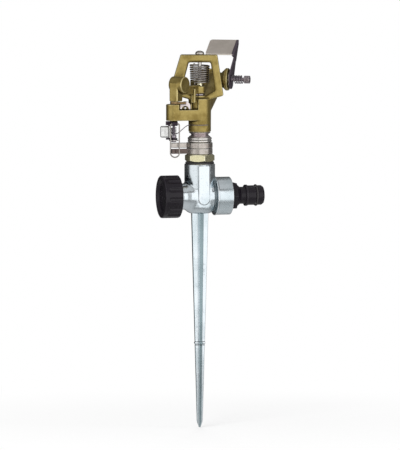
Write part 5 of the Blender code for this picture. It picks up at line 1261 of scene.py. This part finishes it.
class SPRINKLER_OT_stop_rings(SprinklerOperator, bpy.types.Operator):
    """Make the two stop rings with their tabs"""

    bl_idname = "sprinkler.stop_rings"
    bl_label = "Stop rings"

    def make(self, scene):
        sizes = scene.sprinkler_bearing
        self.ring(sizes, "stop_ring_low", "lower_collar", "lower_stop", sizes.low_tab, True)
        self.ring(sizes, "stop_ring_high", "upper_collar", "upper_stop", sizes.high_tab, False)

    def ring(self, sizes, name, node, body, turn, shaded_tab):
        inner, outer, reach = sizes.neck / 2 + FIT, sizes.ring / 2, sizes.tab_reach
        low, high = foot_of(node), top_of(node)
        spot, centre = place(rotation=(0, 0, turn)), place()
        start, half = (inner + outer) / 2, sizes.tab_width / 2
        tab = rounded([(start, -half), (reach, -half), (reach, half), (start, half)], half / 2)
        frame_width, slot = 2.2 * MM, 0.7 * MM
        slot_low = (outer + frame_width, -slot, low - MM)
        slot_high = (reach - frame_width, slot, high + MM)

        def field(points):
            finger = plate(points, spot, tab, low + FIT, high - FIT, 0.35 * MM)
            solid = fuse(rod(points, centre, outer, low, high, 0.4 * MM), finger, 0.9 * MM)
            solid = carve(solid, rod(points, centre, inner, low - MM, high + MM), 0.4 * MM)
            return carve(solid, block(points, spot, slot_low, slot_high))

        def on_tab(points):
            """1 on the tab and 0 on the ring."""
            return np.clip((np.hypot(points[:, 0], points[:, 1]) - outer) / (0.6 * MM), 0, 1)

        # The lower ring's tab takes the steel's darker second colour: painted shade cast by the upper
        # ring's tab.
        region = on_tab if shaded_tab else None
        box = (-reach, -outer, low), (outer, outer, high)
        casting(name, field, body, node, "bright_steel", 0.26 * MM, region, box)


class SPRINKLER_OT_head(SprinklerOperator, bpy.types.Operator):
    """Make the cast head with its barrel and bridge, and the nozzle in it"""

    bl_idname = "sprinkler.head"
    bl_label = "Head"

    def make(self, scene):
        sizes, trip = scene.sprinkler_head, scene.sprinkler_trip
        head, barrel, screw = head_place(), barrel_place(), screw_place()
        front = place(rotation=(math.pi / 2, 0, 0), within=head)
        edge, fillet = sizes.cast_edge, sizes.cast_fillet
        skirt, skirt_low = sizes.skirt / 2, foot_of("head_body")
        column_top = sizes.seat - 2.2 * MM
        reach = math.hypot(trip.x, trip.y)
        bracket_spot = place(rotation=(0, 0, math.atan2(trip.y, trip.x)), within=head)
        root, tip, end = sizes.barrel_root / 2, sizes.barrel_tip / 2, sizes.barrel_length
        barrel_line = [(FAR_INSIDE, end), (tip + 0.6 * MM, end), (tip + 0.6 * MM, end - 2.2 * MM)]
        barrel_line += [(tip, end - 2.8 * MM), (root, 0), (FAR_INSIDE, 0)]
        barrel_line = rounded(barrel_line, 0.5 * MM, count=4)
        low, heel, window, top = sizes.barrel_height, sizes.seat, sizes.window_top, sizes.bridge_top
        hip, knee = top - 20 * MM, heel - 3 * MM
        outer = [(-4.5, low), (4.5, low), (9, knee), (20.2, heel), (15, top), (-16.2, top)]
        outer += [(-22.2, hip), (-20.2, heel), (-9, knee)]
        inner = [(-5.2, heel), (5.2, heel), (12.9, heel + 4.5 * MM), (9.2, window)]
        inner += [(-9.2, window), (-12.7, hip), (-12.9, heel + 4.5 * MM)]
        outer, inner = (
            rounded([(x * MM, z) for x, z in line], 1.6 * MM, count=4) for line in (outer, inner)
        )
        left, middle, right = -17.2 * MM, -6.6 * MM, -1.2 * MM
        ahead = -21.5 * MM
        pocket = [(left, ahead), (right, ahead), (right, -6.1 * MM), (middle, -4.6 * MM)]
        pocket += [(middle, -7.2 * MM), (left, -7.2 * MM)]
        floor = sizes.seat - POCKET_DEPTH
        stop = place((trip.x + STOP_REACH, 0, floor + 1.6 * MM), (math.pi / 2, 0, 0), head)
        face = 13.2 * MM
        boss = [(FAR_INSIDE, face), (skirt - 0.4 * MM, face), (skirt, face - 0.4 * MM)]
        boss += [(skirt, face - 2.4 * MM), (5.5 * MM, face - 6.6 * MM), (5.5 * MM, 2 * MM)]
        boss = rounded([*boss, (FAR_INSIDE, 2 * MM)], 0.4 * MM, count=4)
        bores = {
            "neck": (head, 5.1 * MM, skirt_low - MM, 80.5 * MM, 0.5 * MM),
            "passage": (head, 4.5 * MM, 80 * MM, 85.5 * MM),
            "barrel": (barrel, 4.7 * MM, 0, 70 * MM),
            "nozzle": (barrel, 5.8 * MM, 62.5 * MM, 75 * MM, 0.5 * MM),
            "screw": (screw, PIN_HOLE, 0, 20 * MM),
            "pin": (head, PIN_HOLE, 93.3 * MM, sizes.seat + MM),
            "pin above": (head, PIN_HOLE, window - MM, 150 * MM),
            "trip": (trip_place(), 1.4 * MM, 70 * MM, 100 * MM),
            "stop": (stop, 1.3 * MM, 4.5 * MM, 12 * MM),
        }

        def field(points):
            x, y, z = seen_from(bracket_spot, points)
            bracket = two_circles(x, y, reach, skirt - FIT, 6.5 * MM)
            bracket = slab(bracket, between(z, sizes.block_low, sizes.block_high), edge)
            groove = np.hypot(seen_from(head, points)[0] - trip.x + 0.7 * MM, y + 6.9 * MM)
            bracket = carve(bracket, groove - 0.75 * MM, 0.5 * MM)
            x, y, z = seen_from(front, points)
            bridge = slab(outline_distance(x, y, outer), np.abs(z) - sizes.bridge_depth / 2, 1.3 * MM)
            bridge = carve(bridge, outline_distance(x, y, inner), 2.4 * MM)
            solid = joined(
                rod(points, head, skirt, skirt_low, column_top, 1.0 * MM),
                (bracket, 0.8 * MM),
                (turned(points, barrel, barrel_line), fillet),
                (turned(points, screw, boss), fillet),
                (bridge, 1.2 * MM),
                (rod(points, head, 5.2 * MM, low, sizes.seat, 0.5 * MM), 0.8 * MM),
            )
            hollow = plate(points, head, pocket, floor, 140 * MM, 0.3 * MM)
            return drilled(carve(solid, hollow, 0.5 * MM), points, bores)

        casting("head_casting", field, "head", "head_body", "cast_brass", sizes.cast_step)

        start, lip = end + FIT, end + FIT + NOZZLE_LIP
        corners = [(2.2 * MM, lip - 0.5 * MM), (2.9 * MM, lip), (6.6 * MM, lip), (6.6 * MM, start)]
        corners += [(5.5 * MM, start), (5.5 * MM, end - 6.2 * MM), (4.2 * MM, end - 6.2 * MM)]
        profile = rounded(corners, 0.4 * MM)
        turned_piece("nozzle_bush", profile, barrel, "head", "nozzle", "turned_brass", ring=True)
        dog = [(0, 5.4 * MM), (1 * MM, 5.4 * MM), (1 * MM, 0), (0, 0)]
        profile = rounded(dog, 0.25 * MM, closed=False)
        along = place((0, 0, 4.8 * MM), within=stop)
        turned_piece("dog_stop", profile, along, "head", "stop_pin", "bright_steel", steps=40)


class SPRINKLER_OT_pivot(SprinklerOperator, bpy.types.Operator):
    """Make the arm's pin, its cap, its washer and its bush"""

    bl_idname = "sprinkler.pivot"
    bl_label = "Pivot"

    def make(self, scene):
        spot = head_place()
        low, high, half = foot_of("fulcrum_pin"), top_of("fulcrum_pin"), scene.sprinkler_arm.pin / 2
        pin = rounded([(0, high), (half, high), (half, low), (0, low)], 0.3 * MM, closed=False)
        turned_piece("pivot_pin", pin, spot, "head", "fulcrum_pin", "bright_steel", steps=48)
        low, high, radius = foot_of("pin_cap"), top_of("pin_cap"), 3.8 * MM
        turn = np.radians(np.linspace(90, 0, 14))
        rise = low + (high - low) * (0.25 + 0.75 * np.sin(turn))
        dome = np.stack([radius * np.cos(turn), rise], axis=1)
        dome[0] = (0, high)
        profile = np.concatenate([dome, [(radius, low + 0.2 * MM), (radius - 0.2 * MM, low), (0, low)]])
        turned_piece("pivot_cap", profile, spot, "head", "pin_cap", "bright_steel", steps=64)
        for name, node, body, look, radius, edge in (
            ("pivot_disc", "arm_washer", "head", "dark_steel", 4.3 * MM, 0.3 * MM),
            ("arm_sleeve", "arm_bush", "arm", "turned_brass", 2.5 * MM, 0.2 * MM),
        ):
            low, thick = foot_of(node), top_of(node) - foot_of(node)
            washer(name, spot, body, node, look, PIN_HOLE, radius, low, thick, edge, steps=64)


class SPRINKLER_OT_springs(SprinklerOperator, bpy.types.Operator):
    """Wind the four springs"""

    bl_idname = "sprinkler.springs"
    bl_label = "Springs"

    def make(self, scene):
        arm, flap, head = scene.sprinkler_arm, scene.sprinkler_flap, scene.sprinkler_head
        low, high = arm.foot + WEB_HEIGHT + FIT, head.window_top - FIT
        ends = (arm.spring_foot - arm.spring_wire) / 2, (arm.spring_top - arm.spring_wire) / 2
        start, lead = head.flow + arm.front, 1.8 * MM
        winding = (arm.spring_wire, arm.spring_curls, *ends, low, high, lead, start)
        self.wind("return_spring", head_place(), "head", "arm_spring", "spring_steel", *winding)

        wire, middle = 0.6 * MM, (5.1 * MM + COVER_BORE) / 2
        low, high = foot_of("neck_cover"), top_of("neck_cover")
        winding = (wire, 2, middle, middle, low, high, wire * 1.5)
        self.wind("neck_coil", head_place(), "head", "neck_spring", "spring_steel", *winding)

        wire = 0.8 * MM
        middle = (flap.spring - wire) / 2
        low = flap.out + flap.sheet + FIT + DISC + FIT
        winding = (wire, 5, middle, middle, low, low + SCREW_SPRING, wire * 1.5)
        body, node = "diffuser_slide", "diffuser_spring"
        self.wind("screw_spring", screw_place(), body, node, "dark_steel", *winding)
        self.trip_coil(scene.sprinkler_trip, head)

    def wind(self, name, spot, body, node, look, wire, curls, foot, top, low, high, lead, start=0.0):
        coil = helix(curls, foot, top, low + lead, high - lead, start)
        path = to_world(spot, spring_path(coil, low, high))
        piece(name, tube(path, wire / 2), body, node, look)

    def trip_coil(self, trip, head):
        """Five curls on the trip's pin, whose foot ends in a leg that lies round the skirt."""
        wire = 0.72 * MM
        hub_low = head.block_low - FIT - HUB_HEIGHT
        radius = trip.pin / 2 + FIT * 2 + wire / 2
        low, high = 66.6 * MM + FIT + wire / 2, hub_low - FIT - wire * 1.5
        coil = helix(5, radius, radius, high, low, math.radians(281))
        leg = arc((0, 0), head.skirt / 2 + FIT + wire / 2, 215, 315, 30) - [trip.x, trip.y]
        leg = np.concatenate([leg, np.full((30, 1), foot_of("head_body") + 6.2 * MM)], axis=1)
        share = np.linspace(0, 1, 24)[1:-1, None]
        reach = coil[-1] + (leg[0] - coil[-1]) * share
        eased = share[:, 0] ** 2 * (3 - 2 * share[:, 0])
        reach[:, 2] = coil[-1, 2] + (leg[0, 2] - coil[-1, 2]) * eased
        tail = coil[0] * [1, 1, 0] + [0, 0, hub_low - FIT]
        path = evened(np.concatenate([[tail, (tail + coil[0]) / 2], coil, reach, leg]), start=2)
        surface = tube(to_world(trip_place(), path), wire / 2, 12)
        piece("trip_coil", surface, "head", "trip_spring", "dark_steel")


class SPRINKLER_OT_arm(SprinklerOperator, bpy.types.Operator):
    """Make the cast arm with its spoon and counterweight"""

    bl_idname = "sprinkler.arm"
    bl_label = "Arm"

    def make(self, scene):
        sizes, head = scene.sprinkler_arm, scene.sprinkler_head
        flow = flow_place()
        foot, offset = sizes.foot, sizes.offset
        nozzle_end = (head.barrel_length + FIT + NOZZLE_LIP) * math.cos(head.barrel_rise)
        spoon_start, curve = nozzle_end - 3.4 * MM, 9.2 * MM
        bends_at = [(0, 0), (7, 0.35), (14, 2.0), (24, 7.84), (32, 13.1), (37, 14)]
        line = smooth_path([(x * MM, y / 14 * offset) for x, y in bends_at], 5)
        line = np.concatenate([line, [(spoon_start, offset)]])
        vane = [(spoon_start - sizes.beam, offset)]
        vane += [*arc((spoon_start, offset - curve), curve, 90, 0, 12), (spoon_start + curve, -0.5 * MM)]
        front = place(rotation=(0, 0, sizes.front), within=flow)
        drum = place((32 * MM, 0, foot - 5 * MM + 14.1 * MM), (-math.pi / 2, 0, 0), front)
        dog = place(rotation=(0, 0, math.radians(9.5)), within=front)
        beam_low = foot + 3.4 * MM
        spoon_low = beam_low - 1.0 * MM
        web = (0, -2.2 * MM, foot), (31.8 * MM, 2.2 * MM, foot + WEB_HEIGHT)
        weight = (30.8 * MM, -4.2 * MM, foot - 5 * MM), (39 * MM, 4.2 * MM, foot + 11 * MM)
        claw = (10.4 * MM, -1.7 * MM, foot - 7.4 * MM), (12.8 * MM, 1.7 * MM, foot + 4.6 * MM)

        def field(points):
            x, y, z = seen_from(flow, points)
            beam = line_distance(x, y, line) - sizes.beam / 2
            spoon = line_distance(x, y, vane) - 0.9 * MM
            drum_end = rod(points, drum, 6.8 * MM, -5.2 * MM, 7.8 * MM, 0.8 * MM)
            solid = joined(
                rod(points, flow, sizes.hub / 2, foot, foot + 6 * MM, head.cast_edge),
                (slab(beam, between(z, beam_low, beam_low + 4.6 * MM), 0.8 * MM), 1.2 * MM),
                (slab(spoon, between(z, spoon_low, spoon_low + sizes.spoon), 0.5 * MM), 1.2 * MM),
                (block(points, front, *web, 0.6 * MM), 1.2 * MM),
                (fuse(block(points, front, *weight, 1.0 * MM), drum_end, 0.8 * MM), 1.2 * MM),
                (block(points, dog, *claw, 0.4 * MM), 0.8 * MM),
            )
            return carve(solid, rod(points, flow, 2.8 * MM, foot - MM, foot + 12 * MM), 0.4 * MM)

        casting("arm_casting", field, "arm", "arm", "cast_brass", head.cast_step)


class SPRINKLER_OT_flap(SprinklerOperator, bpy.types.Operator):
    """Make the deflector flap, its washers and the diffuser screw"""

    bl_idname = "sprinkler.flap"
    bl_label = "Deflector flap"

    def make(self, scene):
        sizes = scene.sprinkler_flap
        spot, slope, sheet = screw_place(), sizes.slope, sizes.sheet
        way = np.array([math.cos(slope), math.sin(slope)])
        up = np.array([-math.sin(slope), math.cos(slope)])
        start = np.array([sizes.ahead, sizes.above])
        end = start + way * sizes.fold
        waist = np.array([15 * MM, 16.3 * MM])
        lean = unit(waist)
        across = np.array([lean[1], -lean[0]])
        tilt = math.degrees(math.atan2(across[1], across[0]))
        sink = up * sheet / 2
        strip = [waist + across * 4 * MM, end - up * 2.6 * MM, end + sink, start + sink]
        strip = rounded([*strip, start - up * 2 * MM, waist - across * 4 * MM], 1.0 * MM)[1:]
        strip = np.concatenate([strip, arc((0, 0), 8.2 * MM, tilt + 180, tilt + 360, 30)])
        near, far = sizes.out, sizes.out + sheet
        roof = place((sizes.ahead, sizes.above, far), (0, 0, slope), spot)
        corner = 2.6 * MM
        inset = sizes.width - corner
        top = [(0, 0), (sizes.fold, 0), *arc((sizes.fold - corner, inset), corner, 0, 90, 9)]
        top += [*arc((corner, inset), corner, 90, 180, 9)]

        def field(points):
            x, y, z = seen_from(roof, points)
            folded = slab(outline_distance(x, -z, top), between(y, 0, sheet), 0.3 * MM)
            solid = fuse(plate(points, spot, strip, near, far, 0.3 * MM), folded, 1.4 * MM)
            return carve(solid, rod(points, spot, PIN_HOLE, 0, 30 * MM), 0.2 * MM)

        def in_strip(points):
            """1 on the upright strip, up to the fold's outer corner, and 0 on the folded top."""
            x, y, z = seen_from(roof, points)
            off_sheet = np.abs(y - sheet / 2) / sheet - 0.45
            return np.clip(np.maximum(off_sheet, z / sheet + 0.9) * 8, 0, 1)

        # The upright strip takes the sheet's second colour: its own dark tone with painted dark
        # reflection.
        casting("flap_plate", field, "flap", "deflector_flap", "sheet_steel", 0.34 * MM, in_strip)
        section = (PIN_HOLE, 6 * MM, near - 1 * MM, DISC, 0.2 * MM)
        washer("flap_disc", spot, "flap", "flap_washer", "bright_steel", *section)
        section = (PIN_HOLE, 4 * MM, far + FIT, DISC, 0.2 * MM)
        washer("screw_disc", spot, "flap", "diffuser_washer", "dark_steel", *section)

        low = far + FIT + DISC + FIT + SCREW_SPRING + FIT
        high = low + 4.8 * MM
        radius, shaft = sizes.knob / 2, 1.6 * MM
        corners = [(0, high - 0.7 * MM), (1.2 * MM, high - 0.6 * MM), (2.0 * MM, high), (radius, high)]
        corners += [(radius, low), (shaft, low), (shaft, 3.3 * MM), (0.8 * MM, 2.5 * MM), (0, 2.5 * MM)]
        profile = divided(rounded(corners, 0.35 * MM, closed=False), 0.3 * MM)

        def knurled(r, turn, level):
            """Fine grooves along the head's side, which run out before its edges."""
            room = np.clip(np.minimum(level - low, high - level) / (0.8 * MM) - 0.3, 0, 1)
            groove = 0.16 * MM * (0.5 - 0.5 * np.cos(turn * 24)) * room
            return np.where(r > radius - 0.2 * MM, r - groove, r)

        options = {"steps": 192, "shape": knurled}
        look = "knurled_steel"
        turned_piece("screw_knob", profile, spot, "diffuser", "diffuser_screw", look, **options)


class SPRINKLER_OT_trip(SprinklerOperator, bpy.types.Operator):
    """Make the trip lever, its pin and washers, its latch and its bail wire"""

    bl_idname = "sprinkler.trip"
    bl_label = "Trip gear"

    def make(self, scene):
        sizes, head = scene.sprinkler_trip, scene.sprinkler_head
        spot, hole, half = trip_place(), sizes.pin / 2 + FIT, sizes.pin / 2
        hub_high = head.block_low - FIT
        hub_low, web_high = hub_high - HUB_HEIGHT, hub_high - FIT
        wire_z = (hub_low + web_high) / 2
        self.lever(sizes, spot, hole, hub_low, hub_high, wire_z)
        low, top = foot_of("trip_pin"), top_of("trip_pin")
        rim, high = 2.1 * MM, low + 0.8 * MM
        corners = [(0, top), (half, top), (half, high), (rim, high), (rim, low), (0, low)]
        profile = rounded(corners, 0.25 * MM, closed=False)
        turned_piece("trip_rivet", profile, spot, "trip", "trip_pin", "dark_steel", steps=48)
        for name, node, look, radius, thick, steps in (
            ("trip_disc", "trip_washer", "bright_steel", 4 * MM, 0.8 * MM, 96),
            ("trip_tube", "trip_spacer", "dark_steel", 2.3 * MM, 2.2 * MM, 64),
        ):
            section = (hole, radius, foot_of(node), thick, 0.25 * MM)
            washer(name, spot, "trip", node, look, *section, steps=steps)
        self.bail(sizes, spot, wire_z)
        self.latch(sizes, head, spot, hole)

    def lever(self, sizes, spot, hole, hub_low, hub_high, wire_z):
        hub, web_high = sizes.hub / 2, hub_high - FIT
        foot_low = foot_of("trip_lever")
        foot_high = foot_low + 1.2 * MM
        side = sizes.weight_width / 2
        near, far = -sizes.weight_near, -sizes.weight_far
        weight_low, weight_high = foot_high + 0.5 * MM, hub_low - FIT
        wire_spot = place((0, BAIL_Y, wire_z), (0, math.pi / 2, 0), spot)
        lug_front = BAIL_Y - sizes.wire - FIT
        web = (far + 4.6 * MM, -side / 2, web_high - 3.2 * MM), (FIT, side / 2, web_high)
        weight = (far, -side, weight_low), (near, side, weight_high)
        strip_low = (near - 0.6 * MM, -2.4 * MM, (foot_low + foot_high) / 2)
        strip = strip_low, (-2.8 * MM, 2.4 * MM, web_high - 1.6 * MM)
        base = (-6.6 * MM, -2.7 * MM, foot_low), (FIT, 2.7 * MM, foot_high)
        lug = (-1.0 * MM, lug_front, hub_low + FIT), (3.4 * MM, FIT, web_high - FIT)
        bores = {
            "pin": (spot, hole, foot_low - MM, hub_high + MM),
            "wire": (wire_spot, sizes.wire / 2 + FIT, -3 * MM, 6 * MM, 0.2 * MM),
        }

        def field(points):
            foot = rod(points, spot, hub, foot_low, foot_high, 0.25 * MM)
            solid = joined(
                rod(points, spot, hub, hub_low, hub_high, 0.3 * MM),
                (block(points, spot, *web, 0.3 * MM), 0.5 * MM),
                (block(points, spot, *weight, 1.4 * MM), 0.4 * MM),
                (block(points, spot, *strip, 0.2 * MM), 0.5 * MM),
                (fuse(block(points, spot, *base, 0.25 * MM), foot, 0.3 * MM), 0.5 * MM),
                (block(points, spot, *lug, 0.5 * MM), 0.6 * MM),
            )
            return drilled(solid, points, bores)

        def on_top(points):
            """1 on the web and the hub over the weight, and on the foot under it."""
            over, under = points[:, 2] - weight_high, weight_low - points[:, 2]
            return np.clip(np.maximum(over, under) / (0.4 * MM) + 0.5, 0, 1)

        # The web, hub and foot take the darker second colour: painted shade under the bracket and the
        # weight.
        casting("trip_frame", field, "trip", "trip_lever", "trip_steel", 0.26 * MM, on_top)

    def bail(self, sizes, spot, wire_z):
        left, right = sizes.wire_left, sizes.wire_right
        bend, middle = (right - left) / 2, (right + left) / 2
        loop = arc((middle, wire_z - sizes.wire_drop + bend), bend, 180, 360, 40)
        path = [(-0.2 * MM, wire_z), (left, wire_z), *loop, (right, wire_z), (2.6 * MM, wire_z)]
        path = divided(rounded(path, 1.0 * MM, closed=False, count=8), MM)
        line = np.stack([path[:, 0], np.full(len(path), BAIL_Y), path[:, 1]], axis=1)
        surface = tube(to_world(spot, line), sizes.wire / 2)
        piece("trip_bail", surface, "trip_wire", "trip_wire", "spring_steel")

    def latch(self, sizes, head, spot, hole):
        low, floor = head.block_high + FIT, head.seat - POCKET_DEPTH + 0.5 * MM
        centre, half = STOP_REACH, 4.4 * MM
        arch = [(centre - half, floor), *arc((centre, floor), 2.8 * MM, 180, 0, 17)]
        arch += [(centre + half, floor), *arc((centre, floor + 6.9 * MM - half), half, 0, 180, 25)]
        upright = place(rotation=(math.pi / 2, 0, 0), within=spot)
        bar = (FIT, -2.0 * MM, low), (10 * MM, 1.2 * MM, low + 1.7 * MM)

        def wall(points):
            return plate(points, upright, arch, 0.2 * MM, 1.4 * MM, 0.25 * MM)

        def field(points):
            solid = joined(
                rod(points, spot, sizes.hub / 2, low, low + 2 * MM, 0.3 * MM),
                (block(points, spot, *bar, 0.3 * MM), 0.5 * MM),
                (wall(points), 0.5 * MM),
            )
            return carve(solid, rod(points, spot, hole, low - MM, low + 4 * MM))

        def off_arch(points):
            """0 on the arch and 1 on the bar and the hub that carry it."""
            return np.clip(wall(points) / (0.3 * MM), 0, 1)

        casting("trip_latch", field, "trip", "trip_finger", "pale_plated", 0.22 * MM, off_arch)


class SPRINKLER_OT_hidden(SprinklerOperator, bpy.types.Operator):
    """Give the solids inside the tee and the cap their finishes"""

    bl_idname = "sprinkler.hidden"
    bl_label = "Inner pieces"

    def make(self, scene):
        for look, nodes in {
            "black_rubber": ("cap_washer", "rubber_washer"),
            "pale_nylon": ("thrust_washer_lower", "thrust_washer_upper"),
            "turned_brass": ("bearing_sleeve",),
        }.items():
            for node in nodes:
                for entry in frame["nodes"][node].material_slots:
                    entry.link = "OBJECT"
                    entry.material = finish(look)


class SPRINKLER_OT_stage(SprinklerOperator, bpy.types.Operator):
    """Set the floor, the lamps, the world and the camera"""

    bl_idname = "sprinkler.stage"
    bl_label = "Stage"

    def make(self, scene):
        sizes = scene.sprinkler_stage
        scene.view_settings.view_transform = "Standard"
        self.floor(sizes)
        self.world(scene, sizes)
        self.lamp("key", (-0.75, -1.0, 0.75), 0.7, sizes.key)
        self.lamp("fill", (1.1, -0.7, 0.25), 0.6, sizes.fill)
        self.lamp("back", (0.3, 1.2, 0.9), 0.6, sizes.fill)
        self.camera(scene, sizes)

    def floor(self, sizes):
        """A round floor that keeps the shadow near the spike and is white further out."""
        steps = 96
        turn, radius = circle(steps), np.array([0.05, 0.15, 0.25, 0.35, 0.45])[:, None]
        level = np.full((len(radius), steps), sizes.floor)
        points = np.stack([radius * np.cos(turn), radius * np.sin(turn), level], -1).reshape(-1, 3)
        faces = [*grid_quads(len(radius), steps).tolist(), *fan(len(points), 0, steps).tolist()]
        mesh = bpy.data.meshes.new("floor")
        mesh.from_pydata([*points.tolist(), (0, 0, sizes.floor)], [], faces)
        mesh.materials.append(self.floor_finish())
        made = bpy.data.objects.new("floor", mesh)
        bpy.context.scene.collection.objects.link(made)

    def seen_rays(self, tree):
        """The rays of a tree, and a mask of those that see the stage itself."""
        ray = add(tree, "LightPath").outputs
        return ray, most(ray["Is Camera Ray"], ray["Is Transmission Ray"])

    def floor_finish(self):
        made = bpy.data.materials.new("pale_floor")
        made.use_nodes = True
        tree = made.node_tree
        shader = tree.nodes["Principled BSDF"]
        shader.inputs["Base Color"].default_value = (0.95, 0.95, 0.95, 1)
        shader.inputs["Roughness"].default_value = 0.9
        shader.inputs["Specular IOR Level"].default_value = 0.1
        ray, seen = self.seen_rays(tree)
        glow = most(seen, times(ray["Is Glossy Ray"], 0.3))
        away = add(tree, "VectorMath", {0: on_piece(tree)}, operation="LENGTH").outputs["Value"]
        share = times(most(seen, ray["Is Glossy Ray"]), ramp(away, 0.14, 0.43, 0.55, 1.0))
        white = add(tree, "Emission", {"Color": (1, 1, 1, 1), "Strength": glow})
        both = add(tree, "MixShader", {0: share, 1: shader.outputs[0], 2: white.outputs[0]})
        tree.links.new(both.outputs[0], tree.nodes["Material Output"].inputs["Surface"])
        return made

    def world(self, scene, sizes):
        """A studio room round the camera's view. It is white where the camera sees it. The
        surfaces see two wide bright screens in front with a dark gap between them, a paler
        ceiling and floor past thin gaps, and dark cloths at the sides and behind, with a
        paler strip over them."""
        made = bpy.data.worlds.new("studio")
        made.use_nodes = True
        tree = made.node_tree
        ray, seen = self.seen_rays(tree)
        way = {"Vector": add(tree, "TexCoord").outputs["Generated"], "Angle": -sizes.azimuth}
        facing = add(tree, "VectorRotate", way, rotation_type="Z_AXIS").outputs[0]
        part = add(tree, "SeparateXYZ", {0: facing}).outputs
        aside = maths("ARCTAN2", part["X"], times(part["Y"], -1))
        rise = maths("ARCSINE", part["Z"])

        def degrees(value, low, high, to_low=0.0, to_high=1.0):
            return ramp(value, math.radians(low), math.radians(high), to_low, to_high)

        front = degrees(size_of(aside), 72, 92, 1.0, 0.0)
        gap = degrees(size_of(plus(aside, math.radians(12))), 1.5, 5, 0.25, 1.0)
        screen = times(degrees(aside, -14, -6, 1.0, 1.22), gap, degrees(rise, -27, -22))
        screen = times(screen, degrees(rise, 30, 35, 1.0, 0.0))
        ends = plus(degrees(rise, 37, 43, 0.0, 0.58), degrees(rise, -34, -29, 0.32, 0.0))
        ahead = plus(screen, ends)
        behind = plus(degrees(aside, 60, 130, 0.045, 0.14), degrees(rise, 38, 60, 0.0, 0.38))
        room = add(tree, "Mix", {0: front, 2: behind, 3: ahead}, data_type="FLOAT").outputs[0]
        glossy = times(ray["Is Glossy Ray"], room)
        back = tree.nodes["Background"].inputs
        back["Color"].default_value = (1, 1, 1, 1)
        tree.links.new(most(seen, most(glossy, times(room, sizes.world))), back["Strength"])
        scene.world = made

    def lamp(self, name, location, size, power):
        data = bpy.data.lights.new(name, "AREA")
        data.shape = "DISK"
        data.size = size
        data.energy = power
        made = bpy.data.objects.new(name, data)
        made.location = location
        middle = Vector((0, 0, -0.02))
        made.rotation_euler = (middle - Vector(location)).to_track_quat("-Z", "Y").to_euler()
        made.visible_glossy = False
        bpy.context.scene.collection.objects.link(made)

    def camera(self, scene, sizes):
        azimuth, rise = sizes.azimuth, sizes.elevation
        level = math.cos(rise)
        back = Vector((math.sin(azimuth) * level, -math.cos(azimuth) * level, math.sin(rise)))
        right = Vector((math.cos(azimuth), math.sin(azimuth), 0))
        up = back.cross(right)
        pixel = sizes.picture / PICTURE_PIXELS
        target = right * 0.3 * pixel - up * 12 * pixel
        data = bpy.data.cameras.new("camera")
        data.sensor_width = 36
        data.lens = data.sensor_width * sizes.distance / sizes.picture
        data.clip_start = 0.1
        data.clip_end = 50
        made = bpy.data.objects.new("camera", data)
        made.location = target + back * sizes.distance
        made.rotation_euler = (-back).to_track_quat("-Z", "Y").to_euler()
        scene.collection.objects.link(made)
        scene.camera = made


PIECES = (
    SPRINKLER_OT_effects,
    SPRINKLER_OT_spike,
    SPRINKLER_OT_tee,
    SPRINKLER_OT_cap,
    SPRINKLER_OT_connector,
    SPRINKLER_OT_bearing,
    SPRINKLER_OT_stop_rings,
    SPRINKLER_OT_head,
    SPRINKLER_OT_pivot,
    SPRINKLER_OT_springs,
    SPRINKLER_OT_arm,
    SPRINKLER_OT_flap,
    SPRINKLER_OT_trip,
    SPRINKLER_OT_hidden,
    SPRINKLER_OT_stage,
)
SIZES = {
    "sprinkler_base": SPRINKLER_PG_base,
    "sprinkler_bearing": SPRINKLER_PG_bearing,
    "sprinkler_head": SPRINKLER_PG_head,
    "sprinkler_arm": SPRINKLER_PG_arm,
    "sprinkler_flap": SPRINKLER_PG_flap,
    "sprinkler_trip": SPRINKLER_PG_trip,
    "sprinkler_colours": SPRINKLER_PG_colours,
    "sprinkler_stage": SPRINKLER_PG_stage,
}


class SPRINKLER_PT_panel(bpy.types.Panel):
    """Lists the pieces and the sizes that they are made from"""

    bl_idname = "SPRINKLER_PT_panel"
    bl_label = "Impulse Sprinkler"
    bl_space_type = "VIEW_3D"
    bl_region_type = "UI"
    bl_category = "Sprinkler"

    def draw(self, context):
        for operator in PIECES:
            self.layout.operator(operator.bl_idname)
        for name, group in SIZES.items():
            box = self.layout.box()
            values = getattr(context.scene, name)
            for key in group.__annotations__:
                box.prop(values, key)


def register():
    for group in SIZES.values():
        bpy.utils.register_class(group)
    for name, group in SIZES.items():
        setattr(bpy.types.Scene, name, PointerProperty(type=group))
    for operator in (*PIECES, SPRINKLER_PT_panel):
        bpy.utils.register_class(operator)


def unregister():
    for operator in (SPRINKLER_PT_panel, *reversed(PIECES)):
        bpy.utils.unregister_class(operator)
    for name, group in SIZES.items():
        delattr(bpy.types.Scene, name)
        bpy.utils.unregister_class(group)


def main():
    register()
    for operator in PIECES:
        getattr(bpy.ops.sprinkler, operator.bl_idname.split(".")[1])()


if __name__ == "__main__":
    main()
